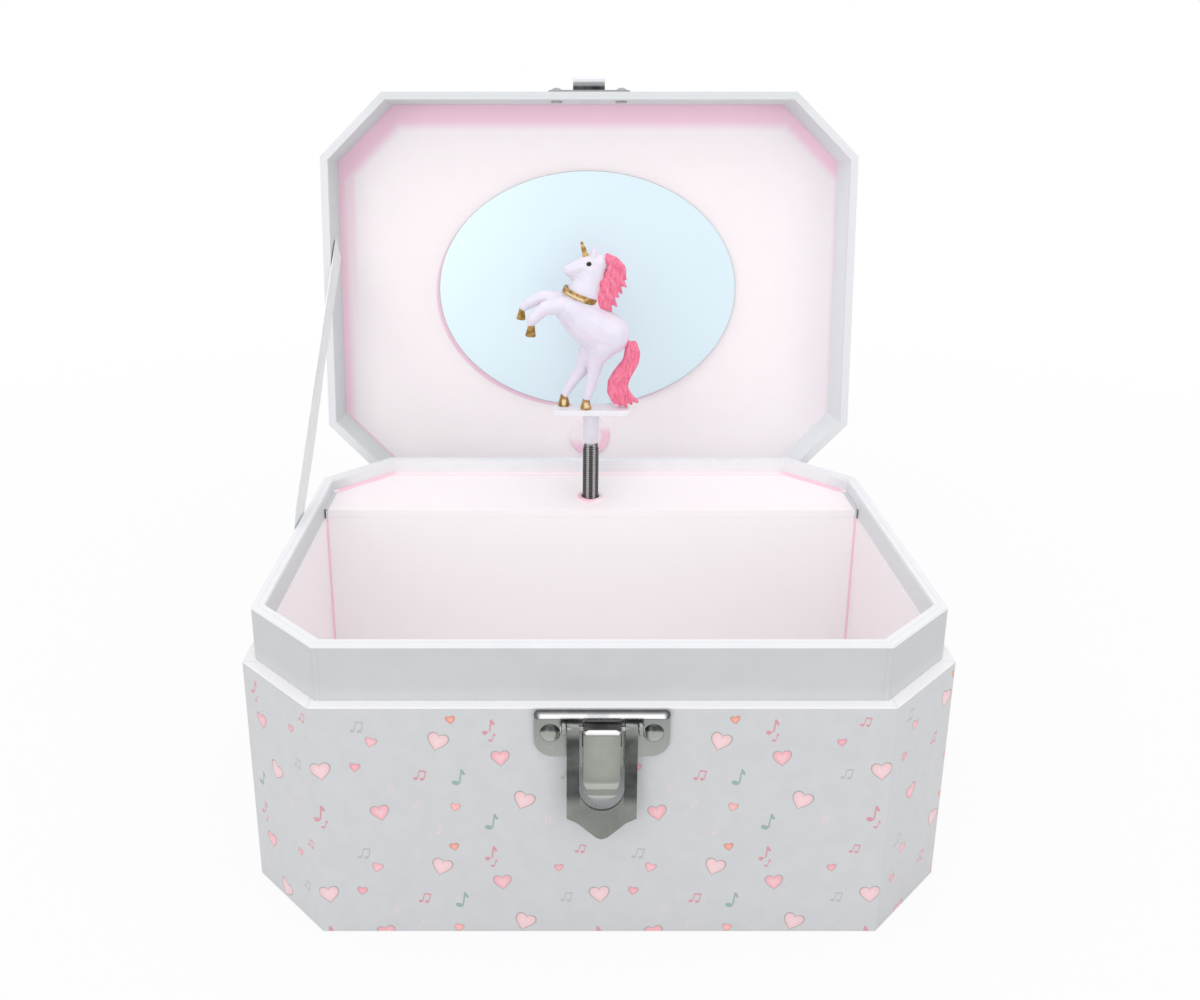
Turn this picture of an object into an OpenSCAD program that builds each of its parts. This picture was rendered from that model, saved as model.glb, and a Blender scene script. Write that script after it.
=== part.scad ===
// Musical jewellery box of paper-covered board: a box with cut corners, a hinged lid with a mirror,
// and a turning unicorn on a coil spring that folds down under the lid.
// Origin: centre of the base on the table. Front faces -Y, right is +X, up is +Z. Millimetres.
// The lid is drawn open, leaning back on its ribbon stay, and the figure stands up.

/* [Box] */
// Width of the box outside
body_w = 180; // [150:1:220]
// Depth of the box outside, front to back
body_d = 133; // [122:1:170]
// Height of the outer walls, up to the ledge that carries the lid
body_h = 64; // [62:1:90]
// Length cut from each corner along the front and the side
corner_cut = 20.8; // [14:0.1:30]
// Thickness of the wrapped board of the outer walls
wall_t = 3; // [2:0.1:4]
// Thickness of the base board
base_t = 3; // [2:0.1:4]
// Thickness of the inner collar that the lid fits over
collar_t = 3; // [2:0.1:4]
// Height of the collar above the ledge
collar_rise = 14.6; // [8:0.1:15]
// Depth of the white turn-in at the top of the collar
turn_in = 7.5; // [4:0.1:12]
// Thickness of the pink lining paper
lining_t = 0.5; // [0.3:0.1:0.8]
// Thickness of the pink card on the floor
floor_card_t = 1.5; // [1:0.1:3]

/* [Compartment] */
// Depth of the music compartment at the back, measured inside the collar
compartment_d = 32; // [32:0.5:40]
// Thickness of the compartment's front board and shelf
board_t = 2.5; // [1.5:0.1:3]
// Drop from the top of the collar to the shelf
shelf_drop = 4.7; // [2:0.1:6]
// Hole in the shelf for the coil spring
spring_hole_d = 7; // [6.6:0.1:10]
// Distance from the front of the compartment back to the middle of the coil spring
spring_set_back = 10.5; // [9:0.5:12]

/* [Lid] */
// Angle that the lid opens before its stay stops it
lid_open = 97.5; // [95:0.5:105]
// How far the lid stands outside the box all round
lid_overhang = 0.6; // [0.5:0.1:1.5]
// Thickness of the lid's side walls
lid_wall = 2.5; // [2:0.1:2.5]
// Depth of the lid from its rim to its lining
lid_recess = 19; // [17:0.5:30]
// Thickness of the lining board in the lid
lid_lining_t = 1; // [0.6:0.1:1.5]
// Thickness of the lid's top board
lid_top_t = 2.5; // [2:0.1:4]
// Width of the oval mirror
mirror_w = 106; // [80:1:130]
// Height of the oval mirror
mirror_h = 84; // [60:1:90]
// Thickness of the mirror
mirror_t = 1.8; // [1:0.1:2]

/* [Hinges] */
// Distance from the middle of the box to each hinge
hinge_x = 50; // [35:1:60]
// Distance of the hinge pin behind the box
hinge_off = 2.8; // [2.7:0.1:5]
// Width of each hinge
leaf_w = 24; // [18:1:30]
// Height of each hinge leaf
leaf_h = 12; // [10:0.5:16]
// Radius of the hinge knuckles
knuckle_r = 2; // [1.9:0.1:2.6]
// Radius of the hinge pins
hinge_pin_r = 0.9; // [0.8:0.1:1.2]

/* [Latch] */
// Width of the latch plate
latch_w = 32; // [28:1:40]
// Height of the latch plate
latch_plate_h = 11; // [10:0.5:14]
// Width of the shield-shaped lever
lever_w = 16.6; // [14:0.2:18]
// Length of the lever below its pin
lever_l = 28; // [26:0.5:34]
// Width of the slot in the lever
slot_w = 10.7; // [10:0.1:12]
// Width of the hook in the slot
hook_w = 8.8; // [7:0.1:9]
// Length of the hook from its pin to the inside of its lip
hook_l = 16.2; // [16:0.1:17]
// How far the hook's lip curls out
lip_out = 2.8; // [2.4:0.1:3.2]
// Thickness of the pressed sheet steel
sheet_t = 0.8; // [0.6:0.1:1]
// Width of the nose on the lid that the hook catches
nose_w = 10.8; // [8:0.1:12]
// How far the nose stands out from the lid
nose_out = 5.8; // [4:0.1:6]

/* [Music movement] */
// Radius of the pinned cylinder
cylinder_r = 6; // [5:0.1:6.2]
// Length of the pinned cylinder
cylinder_l = 16; // [12:0.5:16]
// Radius of the steel arbors
arbor_r = 1.2; // [1:0.1:1.4]
// Teeth on the crown wheel of the spring barrel
crown_teeth = 40; // [36:4:44]
// Teeth on the cylinder's drive pinion
pinion_teeth = 10; // [9:1:11]
// Tooth size of the crown wheel and its pinion, pitch diameter per tooth
drive_module = 0.6; // [0.55:0.01:0.62]
// Teeth on the cylinder's wheel that drives the governor
wheel_teeth = 33; // [30:1:34]
// Teeth on the governor's pinion
fan_pinion_teeth = 8; // [7:1:9]
// Tooth size of the governor's gears
fan_module = 0.4; // [0.36:0.01:0.41]
// Teeth in the comb
comb_teeth = 18; // [12:1:20]
// Radius of the winding key's arbor
key_arbor_r = 2; // [1.6:0.1:2.2]
// Width across the wings of the winding key
key_w = 24; // [18:1:30]

/* [Figure] */
// Outside diameter of the coil spring
spring_d = 5.2; // [5:0.1:6]
// Diameter of the spring's wire
wire_d = 0.7; // [0.6:0.1:0.8]
// Height of the top of the spring above the shelf
spring_rise = 19; // [17:0.5:21]
// Diameter of the white stem on the spring
stem_d = 5.2; // [5:0.1:6.4]
// Height of the stem
stem_h = 9.7; // [7:0.1:10]
// Width of the turning plate that the unicorn stands on
disc_w = 24; // [20:0.2:25]
// Depth of the turning plate
disc_d = 7.6; // [7.4:0.2:12]
// Thickness of the turning plate
disc_t = 1.8; // [1.4:0.1:3.5]
// Size of the unicorn compared with its 52 mm standing height
figure_scale = 1; // [0.8:0.02:1.04]

/* [Hidden] */
$fn = 48;

// Gaps and fits
lid_gap = 0.3;
paper_gap = 0.3;
side_gap = 0.3;
running_gap = 0.05;
rivet_gap = 0.02;

// Heights in the box
collar_top = body_h + collar_rise;
shelf_top = collar_top - shelf_drop;
shelf_bottom = shelf_top - board_t;
floor_top = base_t + floor_card_t;

// Depths from the outside of the box to the inside of the collar and of its lining
collar_inset = wall_t + collar_t;
lining_inset = collar_inset + lining_t;
back_y = body_d / 2;
front_y = -body_d / 2;
lining_back_y = back_y - lining_inset;
front_board_y = back_y - collar_inset - compartment_d;

// Hinge axis and the closed lid above it
hinge_y = back_y + hinge_off;
hinge_z = body_h + lid_gap;
lining_z = hinge_z + lid_recess;
lid_top_z = lining_z + lid_lining_t;
lid_face_y = front_y - lid_overhang;

// Latch axis, with the lever and the hook on one pin
latch_y = front_y - 2.4;
latch_z = body_h - 4;
latch_pin_r = 0.6;
latch_knuckle_r = 1.5;
roll_r = 1.1;
roll_z = body_h - 1.1;
nose_z = latch_z + 12.4;
nose_tip_z = nose_z + 2.9;
rivet_r = 1.3;

// Movement: a vertical bedplate in front of the back wall, the cylinder upright in front of it
axis_y = front_board_y + spring_set_back;
bed_t = 2.5;
bed_y = axis_y + 14;
key_z = 24;
crown_r = drive_module * crown_teeth / 2;
pinion_r = drive_module * pinion_teeth / 2;
pinion_z = key_z + crown_r - 1.3;
pinion_h = 2.6;
lower_lug_z = pinion_z + pinion_h + 0.8;
lug_t = 2;
cylinder_z = lower_lug_z + lug_t + 0.9;
wheel_z = cylinder_z + cylinder_l + 0.4;
wheel_h = 1.2;
upper_lug_z = wheel_z + wheel_h + 0.5;
seat_z = upper_lug_z + lug_t + 0.5;
fan_z = upper_lug_z + lug_t + 1;
fan_h = 5;
fan_r = 4.5;
fan_arbor_r = 0.5;
wheel_r = fan_module * wheel_teeth / 2;
fan_pinion_r = fan_module * fan_pinion_teeth / 2;
fan_x = 1.5;
fan_y = axis_y + sqrt(pow(wheel_r + fan_pinion_r, 2) - fan_x * fan_x);
key_hole_r = 4;
bolt_r = 1.2;
bolt_xz = [[-17, 14], [25, 14], [-14, cylinder_z + 12]];
comb_x = 22.5;
comb_screw_z = [cylinder_z + 3, cylinder_z + cylinder_l - 3];

// The rod that stops the fan while the lid is shut
stop_x = 0.4;
stop_y = bed_y - 1.4;
stop_r = 1;
stop_travel = 5;
pad_t = 1;
stop_top = lining_z - pad_t - lid_gap + stop_travel;
stop_bottom = fan_z + fan_h + 0.8;
pad_x = stop_x + 0.8;
pad_r = 7.3;
pad_y = max(stop_y + 1.7, mirror_h / 2 + pad_r + 0.3);

// Spring and figure
spring_r = spring_d / 2;
spring_bottom = seat_z + 0.8;
spring_top = shelf_top + spring_rise;
disc_z = spring_top + stem_h;
figure_z = disc_z + disc_t;

// ---- shared shapes ----

// The box outline, moved inwards by i, with its corners kept at 45 degrees
module outline(i) {
    w = body_w / 2 - i;
    d = body_d / 2 - i;
    c = corner_cut - i * (2 - sqrt(2));
    polygon([[-w + c, -d], [w - c, -d], [w, -d + c], [w, d - c],
        [w - c, d], [-w + c, d], [-w, d - c], [-w, -d + c]]);
}

module ring_wall(outer, inner, height) {
    linear_extrude(height) difference() {
        outline(outer);
        outline(inner);
    }
}

// A cylinder along X from x0 to x1
module bar_x(x0, x1, r) {
    translate([x0, 0, 0]) rotate([0, 90, 0]) cylinder(h = x1 - x0, r = r);
}

// A cylinder along +Y from y0 to y1
module bar_y(y0, y1, r) {
    translate([0, y0, 0]) rotate([-90, 0, 0]) cylinder(h = y1 - y0, r = r);
}

// A side view, drawn as [y, z] points, made x0 to x1 wide
module side_extrude(x0, x1) {
    translate([x0, 0, 0]) rotate([90, 0, 90]) linear_extrude(x1 - x0) children();
}

// A front view, drawn as [x, z] points, made y0 to y1 deep
module front_extrude(y0, y1) {
    translate([0, y1, 0]) rotate([90, 0, 0]) linear_extrude(y1 - y0) children();
}

// Turns what is drawn on the closed lid to its open place
module opened() {
    translate([0, hinge_y, hinge_z]) rotate([-lid_open, 0, 0])
        translate([0, -hinge_y, -hinge_z]) children();
}

// A spur gear with straight-sided teeth, on +Z
module spur(teeth, size, height, bore) {
    tip = size * teeth / 2 + size * 0.85;
    root = size * teeth / 2 - size * 1.1;
    step = 360 / teeth;
    linear_extrude(height) difference() {
        polygon([for (i = [0:teeth - 1], p = [[-0.34, root], [-0.11, tip], [0.11, tip], [0.34, root]])
            let (a = (i + p[0]) * step) [p[1] * sin(a), p[1] * cos(a)]]);
        circle(bore);
    }
}

// A flat band of even width along a line of [y, z] points
module band(points, width) {
    last = len(points) - 1;
    function turn(i) = let (a = points[max(i - 1, 0)], b = points[min(i + 1, last)],
        n = norm(b - a)) [-(b[1] - a[1]) / n, (b[0] - a[0]) / n];
    polygon(concat([for (i = [0:last]) points[i] + turn(i) * width / 2],
        [for (i = [last:-1:0]) points[i] - turn(i) * width / 2]));
}

// A chain of rounded limbs through [x, y, z, radius] points
module limb(points) {
    for (i = [0:len(points) - 2]) hull() {
        translate([for (k = [0:2]) points[i][k]]) sphere(points[i][3], $fn = 16);
        translate([for (k = [0:2]) points[i + 1][k]]) sphere(points[i + 1][3], $fn = 16);
    }
}

// ---- box ----

module outer_walls() {
    color("ghostwhite") difference() {
        ring_wall(0, wall_t, body_h);
        translate([0, 0, key_z]) bar_y(back_y - wall_t - 1, back_y + 1, key_hole_r);
        for (p = bolt_xz)
            translate([p[0], 0, p[1]]) bar_y(back_y - wall_t - 1, back_y + 1, bolt_r + rivet_gap);
        for (side = [-1, 1]) {
            translate([side * latch_rivet_x, 0, latch_rivet_z])
                bar_y(front_y - 1, front_y + wall_t + 1, rivet_r + rivet_gap);
            for (p = hinge_rivet_x) translate([side * hinge_x + p, 0, box_rivet_z])
                bar_y(back_y - wall_t - 1, back_y + 1, rivet_r + rivet_gap);
        }
    }
}

module base_board() {
    color("white") linear_extrude(base_t) outline(wall_t);
}

module collar() {
    color("white") difference() {
        translate([0, 0, base_t]) ring_wall(wall_t, collar_inset, collar_top - base_t);
        translate([0, 0, key_z]) bar_y(lining_back_y, back_y, key_hole_r);
        for (p = bolt_xz)
            translate([p[0], 0, p[1]]) bar_y(lining_back_y, back_y, bolt_r + rivet_gap);
    }
}

module wall_lining() {
    color("pink") difference() {
        translate([0, 0, base_t])
            ring_wall(collar_inset, lining_inset, collar_top - turn_in - base_t);
        translate([0, 0, key_z]) bar_y(lining_back_y - 1, back_y, key_hole_r);
        for (p = bolt_xz)
            translate([p[0], 0, p[1]]) bar_y(lining_back_y - 1, back_y, bolt_r + rivet_gap);
    }
}

// The part of the inside that lies in front of the compartment, or behind its front face
module inside_part(i, behind) {
    intersection() {
        outline(i);
        translate([-body_w / 2, behind ? front_board_y : front_board_y - body_d])
            square([body_w, body_d]);
    }
}

module floor_card() {
    color("pink") translate([0, 0, base_t]) linear_extrude(floor_card_t) inside_part(lining_inset, false);
}

module compartment_front() {
    w = body_w / 2 - lining_inset - paper_gap;
    color("mistyrose") translate([-w, front_board_y, base_t])
        cube([2 * w, board_t, shelf_bottom - base_t]);
}

module shelf() {
    color("lavenderblush") difference() {
        translate([0, 0, shelf_bottom]) linear_extrude(board_t)
            inside_part(lining_inset + paper_gap, true);
        translate([0, axis_y, shelf_bottom - 1]) cylinder(h = board_t + 2, d = spring_hole_d);
        translate([stop_x, stop_y, shelf_bottom - 1])
            cylinder(h = board_t + 2, r = stop_r + running_gap);
    }
}

// A ring with a thin flange on the shelf, round the spring
module spring_grommet() {
    color("hotpink") translate([0, axis_y, shelf_top - board_t]) difference() {
        union() {
            cylinder(h = board_t, d = spring_hole_d);
            translate([0, 0, board_t]) cylinder(h = 0.6, d = spring_hole_d + 1.2);
        }
        translate([0, 0, -1]) cylinder(h = board_t + 3, r = spring_r + side_gap);
    }
}

// Glued outside the collar's left wall and inside the lid's left wall; held taut by the open lid
stay_points = [[4, body_h + 2], [10, collar_top + 1], [34, 99.5], [59, 121], [76, 134.5], [91, 146.5]];
stay_w = 10;
stay_t = 0.4;
module ribbon_stay() {
    x = -body_w / 2 + wall_t;
    color("white") side_extrude(x - paper_gap - stay_t, x - paper_gap) band(stay_points, stay_w);
}

// ---- movement ----

// A lug that stands forward of the bedplate to y, between two heights
module lug(x0, x1, y, z, h) {
    translate([x0, y, z]) cube([x1 - x0, bed_y - y + 0.5, h]);
}

module bedplate() {
    step_x0 = comb_x - 4;
    step_x1 = comb_x + 5;
    color("silver") difference() {
        union() {
            translate([-22, bed_y, 8]) cube([52, bed_t, upper_lug_z + lug_t - 8]);
            translate([-5, bed_y, 8]) cube([10, bed_t, shelf_bottom - 0.3 - 8]);
            translate([0, 0, key_z]) bar_y(bed_y + bed_t, lining_back_y - 0.5, 5);
            for (p = bolt_xz)
                translate([p[0], 0, p[1]]) bar_y(bed_y + bed_t - 0.5, lining_back_y, 3.5);
            lug(-4, 4, axis_y - 3, lower_lug_z, lug_t);
            lug(-4, 5, axis_y - 3, upper_lug_z, lug_t);
            lug(fan_x - 1.5, fan_x + 1.5, fan_y - 1.2, cylinder_z + cylinder_l - 3, 1.6);
            lug(stop_x - 2.6, stop_x + 2.6, stop_y - 2.2, shelf_bottom - 2, 1.7);
            lug(step_x0, step_x1, axis_y + 0.5, cylinder_z - 1, cylinder_l + 2);
        }
        translate([0, axis_y, lower_lug_z - 1]) cylinder(h = lug_t + 2, r = arbor_r + running_gap);
        translate([0, axis_y, upper_lug_z - 1]) cylinder(h = lug_t + 2, r = arbor_r + running_gap);
        translate([fan_x, fan_y, cylinder_z]) cylinder(h = 60, r = fan_arbor_r + running_gap);
        translate([stop_x, stop_y, shelf_bottom - 3]) cylinder(h = 4, r = stop_r + running_gap);
        translate([0, 0, key_z]) bar_y(bed_y - 1, lining_back_y, key_arbor_r + running_gap);
        for (p = bolt_xz)
            translate([p[0], 0, p[1]]) bar_y(bed_y + 0.5, lining_back_y + 1, bolt_r);
        for (z = comb_screw_z) translate([comb_x, 0, z]) bar_y(axis_y, bed_y - 3, bolt_r);
    }
}

module movement_screws() {
    color("silver") for (p = bolt_xz) translate([p[0], 0, p[1]]) difference() {
        union() {
            bar_y(bed_y + 1, back_y, bolt_r);
            translate([0, back_y, 0]) rotate([-90, 0, 0]) cylinder(h = 1.4, r1 = 2.6, r2 = 1.8);
        }
        translate([-3, back_y + 0.9, -0.35]) cube([6, 1, 0.7]);
    }
}

module comb() {
    tip_x = cylinder_r + 0.8;
    pitch = cylinder_l / comb_teeth;
    color("lightsteelblue") difference() {
        translate([tip_x, axis_y - 0.5, cylinder_z]) cube([comb_x + 4 - tip_x, 1, cylinder_l]);
        for (i = [1:comb_teeth - 1])
            translate([tip_x - 1, axis_y - 1, cylinder_z + i * pitch - 0.12]) cube([12, 2, 0.24]);
        for (z = comb_screw_z) translate([comb_x, 0, z]) bar_y(axis_y - 1, axis_y + 1, bolt_r + 0.1);
    }
}

module comb_screws() {
    color("silver") for (z = comb_screw_z) translate([comb_x, 0, z]) difference() {
        union() {
            bar_y(axis_y - 0.5, axis_y + 7, bolt_r);
            bar_y(axis_y - 1.9, axis_y - 0.5, 2.2);
        }
        translate([-3, axis_y - 2.4, -0.35]) cube([6, 1, 0.7]);
    }
}

housing_r = crown_r + 1.2;
housing_y = axis_y + 6.6;
module spring_housing() {
    color("gold") translate([0, 0, key_z]) difference() {
        bar_y(housing_y, bed_y, housing_r);
        bar_y(housing_y - 1, bed_y - 0.8, housing_r - 0.8);
        bar_y(bed_y - 2, bed_y + 1, key_arbor_r + 0.6);
    }
}

// A spiral strip between the arbor and the housing
module mainspring() {
    turns = 5;
    r0 = key_arbor_r + 0.8;
    growth = (housing_r - 1.4 - r0) / (turns * 360);
    strip_t = 0.4;
    function at(a, extra) = let (r = r0 + growth * a + extra) [r * cos(a), r * sin(a)];
    color("dimgray") translate([0, 0, key_z]) front_extrude(housing_y + 0.6, bed_y - 1.2)
        polygon(concat([for (a = [0:18:turns * 360]) at(a, 0)],
            [for (a = [turns * 360:-18:0]) at(a, strip_t)]));
}

// Pins stand on the cylinder in a regular scatter, clear of the comb's tips
module music_cylinder() {
    pins = 36;
    color("gold") translate([0, axis_y, 0]) {
        difference() {
            translate([0, 0, cylinder_z]) cylinder(h = cylinder_l, r = cylinder_r);
            translate([0, 0, cylinder_z - 1]) cylinder(h = cylinder_l + 2, r = arbor_r);
        }
        for (i = [0:pins - 1])
            rotate([0, 0, i * 137.5])
                translate([0, 0, cylinder_z + (0.5 + (i * 7) % comb_teeth) * cylinder_l / comb_teeth])
                    bar_x(cylinder_r - 0.3, cylinder_r + 0.5, 0.25, $fn = 16);
    }
}

module cylinder_arbor() {
    color("silver") translate([0, axis_y, 0]) {
        translate([0, 0, pinion_z - 0.6]) cylinder(h = seat_z - pinion_z + 0.6, r = arbor_r);
        translate([0, 0, seat_z]) cylinder(h = 0.8, r = spring_r);
        translate([0, 0, spring_bottom]) cylinder(h = 4.5, r = spring_r - wire_d);
    }
}

module drive_pinion() {
    color("gold") translate([0, axis_y, pinion_z])
        spur(pinion_teeth, drive_module, pinion_h, arbor_r);
}

module cylinder_wheel() {
    color("gold") translate([0, axis_y, wheel_z]) rotate([0, 0, fan_mesh_turn])
        spur(wheel_teeth, fan_module, wheel_h, arbor_r);
}

// The wheel and the pinion are turned so that a tooth of one meets a gap of the other
fan_angle = atan2(fan_y - axis_y, fan_x);
fan_mesh_turn = fan_angle - 90;
module governor_arbor() {
    color("silver") translate([fan_x, fan_y, 0]) {
        translate([0, 0, cylinder_z + cylinder_l - 3.4])
            cylinder(h = fan_z + fan_h - cylinder_z - cylinder_l + 3.4, r = fan_arbor_r);
        translate([0, 0, wheel_z]) rotate([0, 0, fan_angle + 90 + 180 / fan_pinion_teeth])
            spur(fan_pinion_teeth, fan_module, wheel_h, fan_arbor_r - 0.1);
    }
}

module governor_fan() {
    color("gainsboro") translate([fan_x, fan_y, fan_z]) difference() {
        union() {
            cylinder(h = fan_h, r = 1.1);
            translate([-fan_r, -0.2, 0]) cube([2 * fan_r, 0.4, fan_h]);
        }
        translate([0, 0, -1]) cylinder(h = fan_h + 2, r = fan_arbor_r);
    }
}

// A contrate wheel: its teeth stand forward from the disc's rim and turn the upright pinion
crown_face_y = axis_y + pinion_r + 1;
module crown_wheel() {
    step = 360 / crown_teeth;
    color("gold") translate([0, 0, key_z]) {
        difference() {
            bar_y(crown_face_y, crown_face_y + 1.6, crown_r + 1.5);
            bar_y(crown_face_y - 1, crown_face_y + 3, key_arbor_r);
        }
        for (i = [0:crown_teeth - 1]) rotate([0, (i + 0.5) * step, 0])
            translate([-0.3, crown_face_y - 1.1, crown_r - 1.2]) cube([0.6, 1.3, 2.4]);
    }
}

key_y = back_y + 1;
module key_arbor() {
    color("silver") translate([0, 0, key_z]) bar_y(crown_face_y - 1.4, key_y + 6, key_arbor_r);
}

module winding_key() {
    wing_r = key_w / 4;
    color("silver") translate([0, 0, key_z]) difference() {
        union() {
            bar_y(key_y, key_y + 9, 3.4);
            translate([0, key_y + 12, -0.8]) linear_extrude(1.6) {
                for (side = [-1, 1]) translate([side * wing_r, 0]) circle(wing_r);
                translate([-3.4, -6]) square([6.8, 9]);
            }
        }
        bar_y(key_y - 1, key_y + 6, key_arbor_r);
        for (side = [-1, 1])
            translate([side * wing_r, key_y + 12, -2]) cylinder(h = 4, r = wing_r / 2.4);
    }
}

module stop_rod() {
    color("silver") translate([stop_x, stop_y, stop_bottom])
        cylinder(h = stop_top - stop_bottom, r = stop_r);
}

// ---- hinges ----

box_rivet_z = hinge_z - 8.2;
hinge_rivet_x = [-leaf_w / 2 + 5, leaf_w / 2 - 5];
knuckle_l = leaf_w / 3;

// A knuckle on a cranked leaf, drawn below the hinge axis against a wall at y = face
module leaf_side(face) {
    top = hinge_z - 3.2;
    difference() {
        union() {
            polygon([[face, hinge_z - leaf_h], [face + sheet_t, hinge_z - leaf_h],
                [face + sheet_t, top - 0.4], [hinge_y + 1, hinge_z - knuckle_r + 0.3],
                [hinge_y - 1, hinge_z - knuckle_r + 0.9], [face, top]]);
            translate([hinge_y, hinge_z]) circle(knuckle_r);
        }
        translate([hinge_y, hinge_z]) circle(hinge_pin_r + running_gap);
    }
}

module leaf_plate(face) {
    difference() {
        translate([-leaf_w / 2, face, hinge_z - leaf_h])
            cube([leaf_w, sheet_t, leaf_h - 3.6]);
        for (x = hinge_rivet_x)
            translate([x, 0, box_rivet_z]) bar_y(face - 1, face + 2, rivet_r + rivet_gap);
    }
}

module hinge_leaves_box() {
    color("silver") for (side = [-1, 1]) translate([side * hinge_x, 0, 0]) {
        leaf_plate(back_y);
        difference() {
            for (x = [-leaf_w / 2, knuckle_l / 2 + side_gap / 2])
                side_extrude(x, x + knuckle_l - side_gap / 2) leaf_side(back_y);
            for (x = hinge_rivet_x)
                translate([x, 0, box_rivet_z]) bar_y(back_y - 1, back_y + 2, rivet_r + rivet_gap);
        }
    }
}

module hinge_leaves_lid() {
    color("silver") opened() for (side = [-1, 1])
        translate([side * hinge_x, 0, 2 * hinge_z]) mirror([0, 0, 1]) {
            leaf_plate(back_y + lid_overhang);
            side_extrude(-knuckle_l / 2 + side_gap / 2, knuckle_l / 2 - side_gap / 2)
                leaf_side(back_y + lid_overhang);
        }
}

module hinge_pins() {
    color("silver") for (side = [-1, 1]) translate([side * hinge_x, hinge_y, hinge_z]) {
        bar_x(-leaf_w / 2, leaf_w / 2, hinge_pin_r);
        bar_x(-leaf_w / 2 - 0.7, -leaf_w / 2, hinge_pin_r + 0.6);
        bar_x(leaf_w / 2, leaf_w / 2 + 0.7, hinge_pin_r + 0.6);
    }
}

// A rivet through a wall, with a low domed head outside; out is the direction of the head in Y
module rivet(face, depth, out, head_r) {
    bar_y(min(face, face - out * depth), max(face, face - out * depth), rivet_r);
    intersection() {
        translate([0, face + out * (1 - head_r * 1.1), 0]) sphere(head_r * 1.1 + 0.2);
        bar_y(min(face, face + out * 4), max(face, face + out * 4), head_r);
    }
}

module hinge_rivets_box() {
    color("silver") for (side = [-1, 1], x = hinge_rivet_x)
        translate([side * hinge_x + x, 0, box_rivet_z]) rivet(back_y + sheet_t, sheet_t + wall_t, 1, 2);
}

module hinge_rivets_lid() {
    face = back_y + lid_overhang + sheet_t;
    color("silver") opened() for (side = [-1, 1], x = hinge_rivet_x)
        translate([side * hinge_x + x, 0, 2 * hinge_z - box_rivet_z])
            rivet(face, sheet_t + lid_wall, 1, 2);
}

// ---- lid ----

strike_z = nose_z - 1.5;
strike_rivet_x = 11;
module lid_walls() {
    color("white") opened() difference() {
        translate([0, 0, hinge_z])
            ring_wall(-lid_overhang, lid_wall - lid_overhang, lid_recess + lid_lining_t);
        for (side = [-1, 1]) {
            translate([side * strike_rivet_x, 0, strike_z])
                bar_y(lid_face_y - 1, lid_face_y + lid_wall + 1, rivet_r + rivet_gap);
            for (x = hinge_rivet_x)
                translate([side * hinge_x + x, 0, 2 * hinge_z - box_rivet_z])
                    bar_y(back_y - lid_wall, back_y + 2, rivet_r + rivet_gap);
        }
    }
}

module lid_top() {
    color("ghostwhite") opened() translate([0, 0, lid_top_z])
        linear_extrude(lid_top_t) outline(-lid_overhang);
}

module lid_lining() {
    color("mistyrose") opened() translate([0, 0, lining_z])
        linear_extrude(lid_lining_t) outline(lid_wall - lid_overhang);
}

module mirror_glass() {
    linear_extrude(mirror_t)
        polygon([for (a = [0:4:356]) [mirror_w / 2 * cos(a), mirror_h / 2 * sin(a)]]);
}
module mirror_plate() {
    color("lightcyan") opened() translate([0, 0, lining_z - mirror_t]) mirror_glass();
}

// A felt dot on the lining that presses the stop rod
module lid_pad() {
    color("hotpink") opened() translate([pad_x, pad_y, lining_z - pad_t])
        cylinder(h = pad_t, r = pad_r);
}

module strike_plate() {
    out = lid_face_y - sheet_t;
    tip = lid_face_y - nose_out;
    color("silver") opened() {
        difference() {
            front_extrude(out, lid_face_y) hull() for (side = [-1, 1], z = [-2.6, 2.6])
                translate([side * 11.8, strike_z + z]) circle(2);
            for (side = [-1, 1]) translate([side * strike_rivet_x, 0, strike_z])
                bar_y(out - 1, lid_face_y + 1, rivet_r + rivet_gap);
        }
        side_extrude(-nose_w / 2, nose_w / 2)
            polygon([[out, nose_z - sheet_t], [tip + 0.6, nose_z - sheet_t], [tip, nose_z - 0.2],
                [tip, nose_tip_z], [tip + sheet_t, nose_tip_z], [tip + sheet_t, nose_z], [out, nose_z]]);
    }
}

module strike_rivets() {
    color("silver") opened() for (side = [-1, 1]) translate([side * strike_rivet_x, 0, strike_z]) {
        rivet(lid_face_y - sheet_t, sheet_t + lid_wall, -1, 2.2);
        bar_y(lid_face_y + lid_wall, lid_face_y + lid_wall + 0.5, 1.9);
    }
}

// ---- latch ----

latch_rivet_x = 12.2;
latch_rivet_z = latch_z - 2.3;
latch_head_r = 2.7;
lever_y = latch_y - 1.5;
// Thickness of the two ears that hold the pin
ear_t = 0.8;
ear_x = lever_w / 2 + side_gap;

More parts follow.
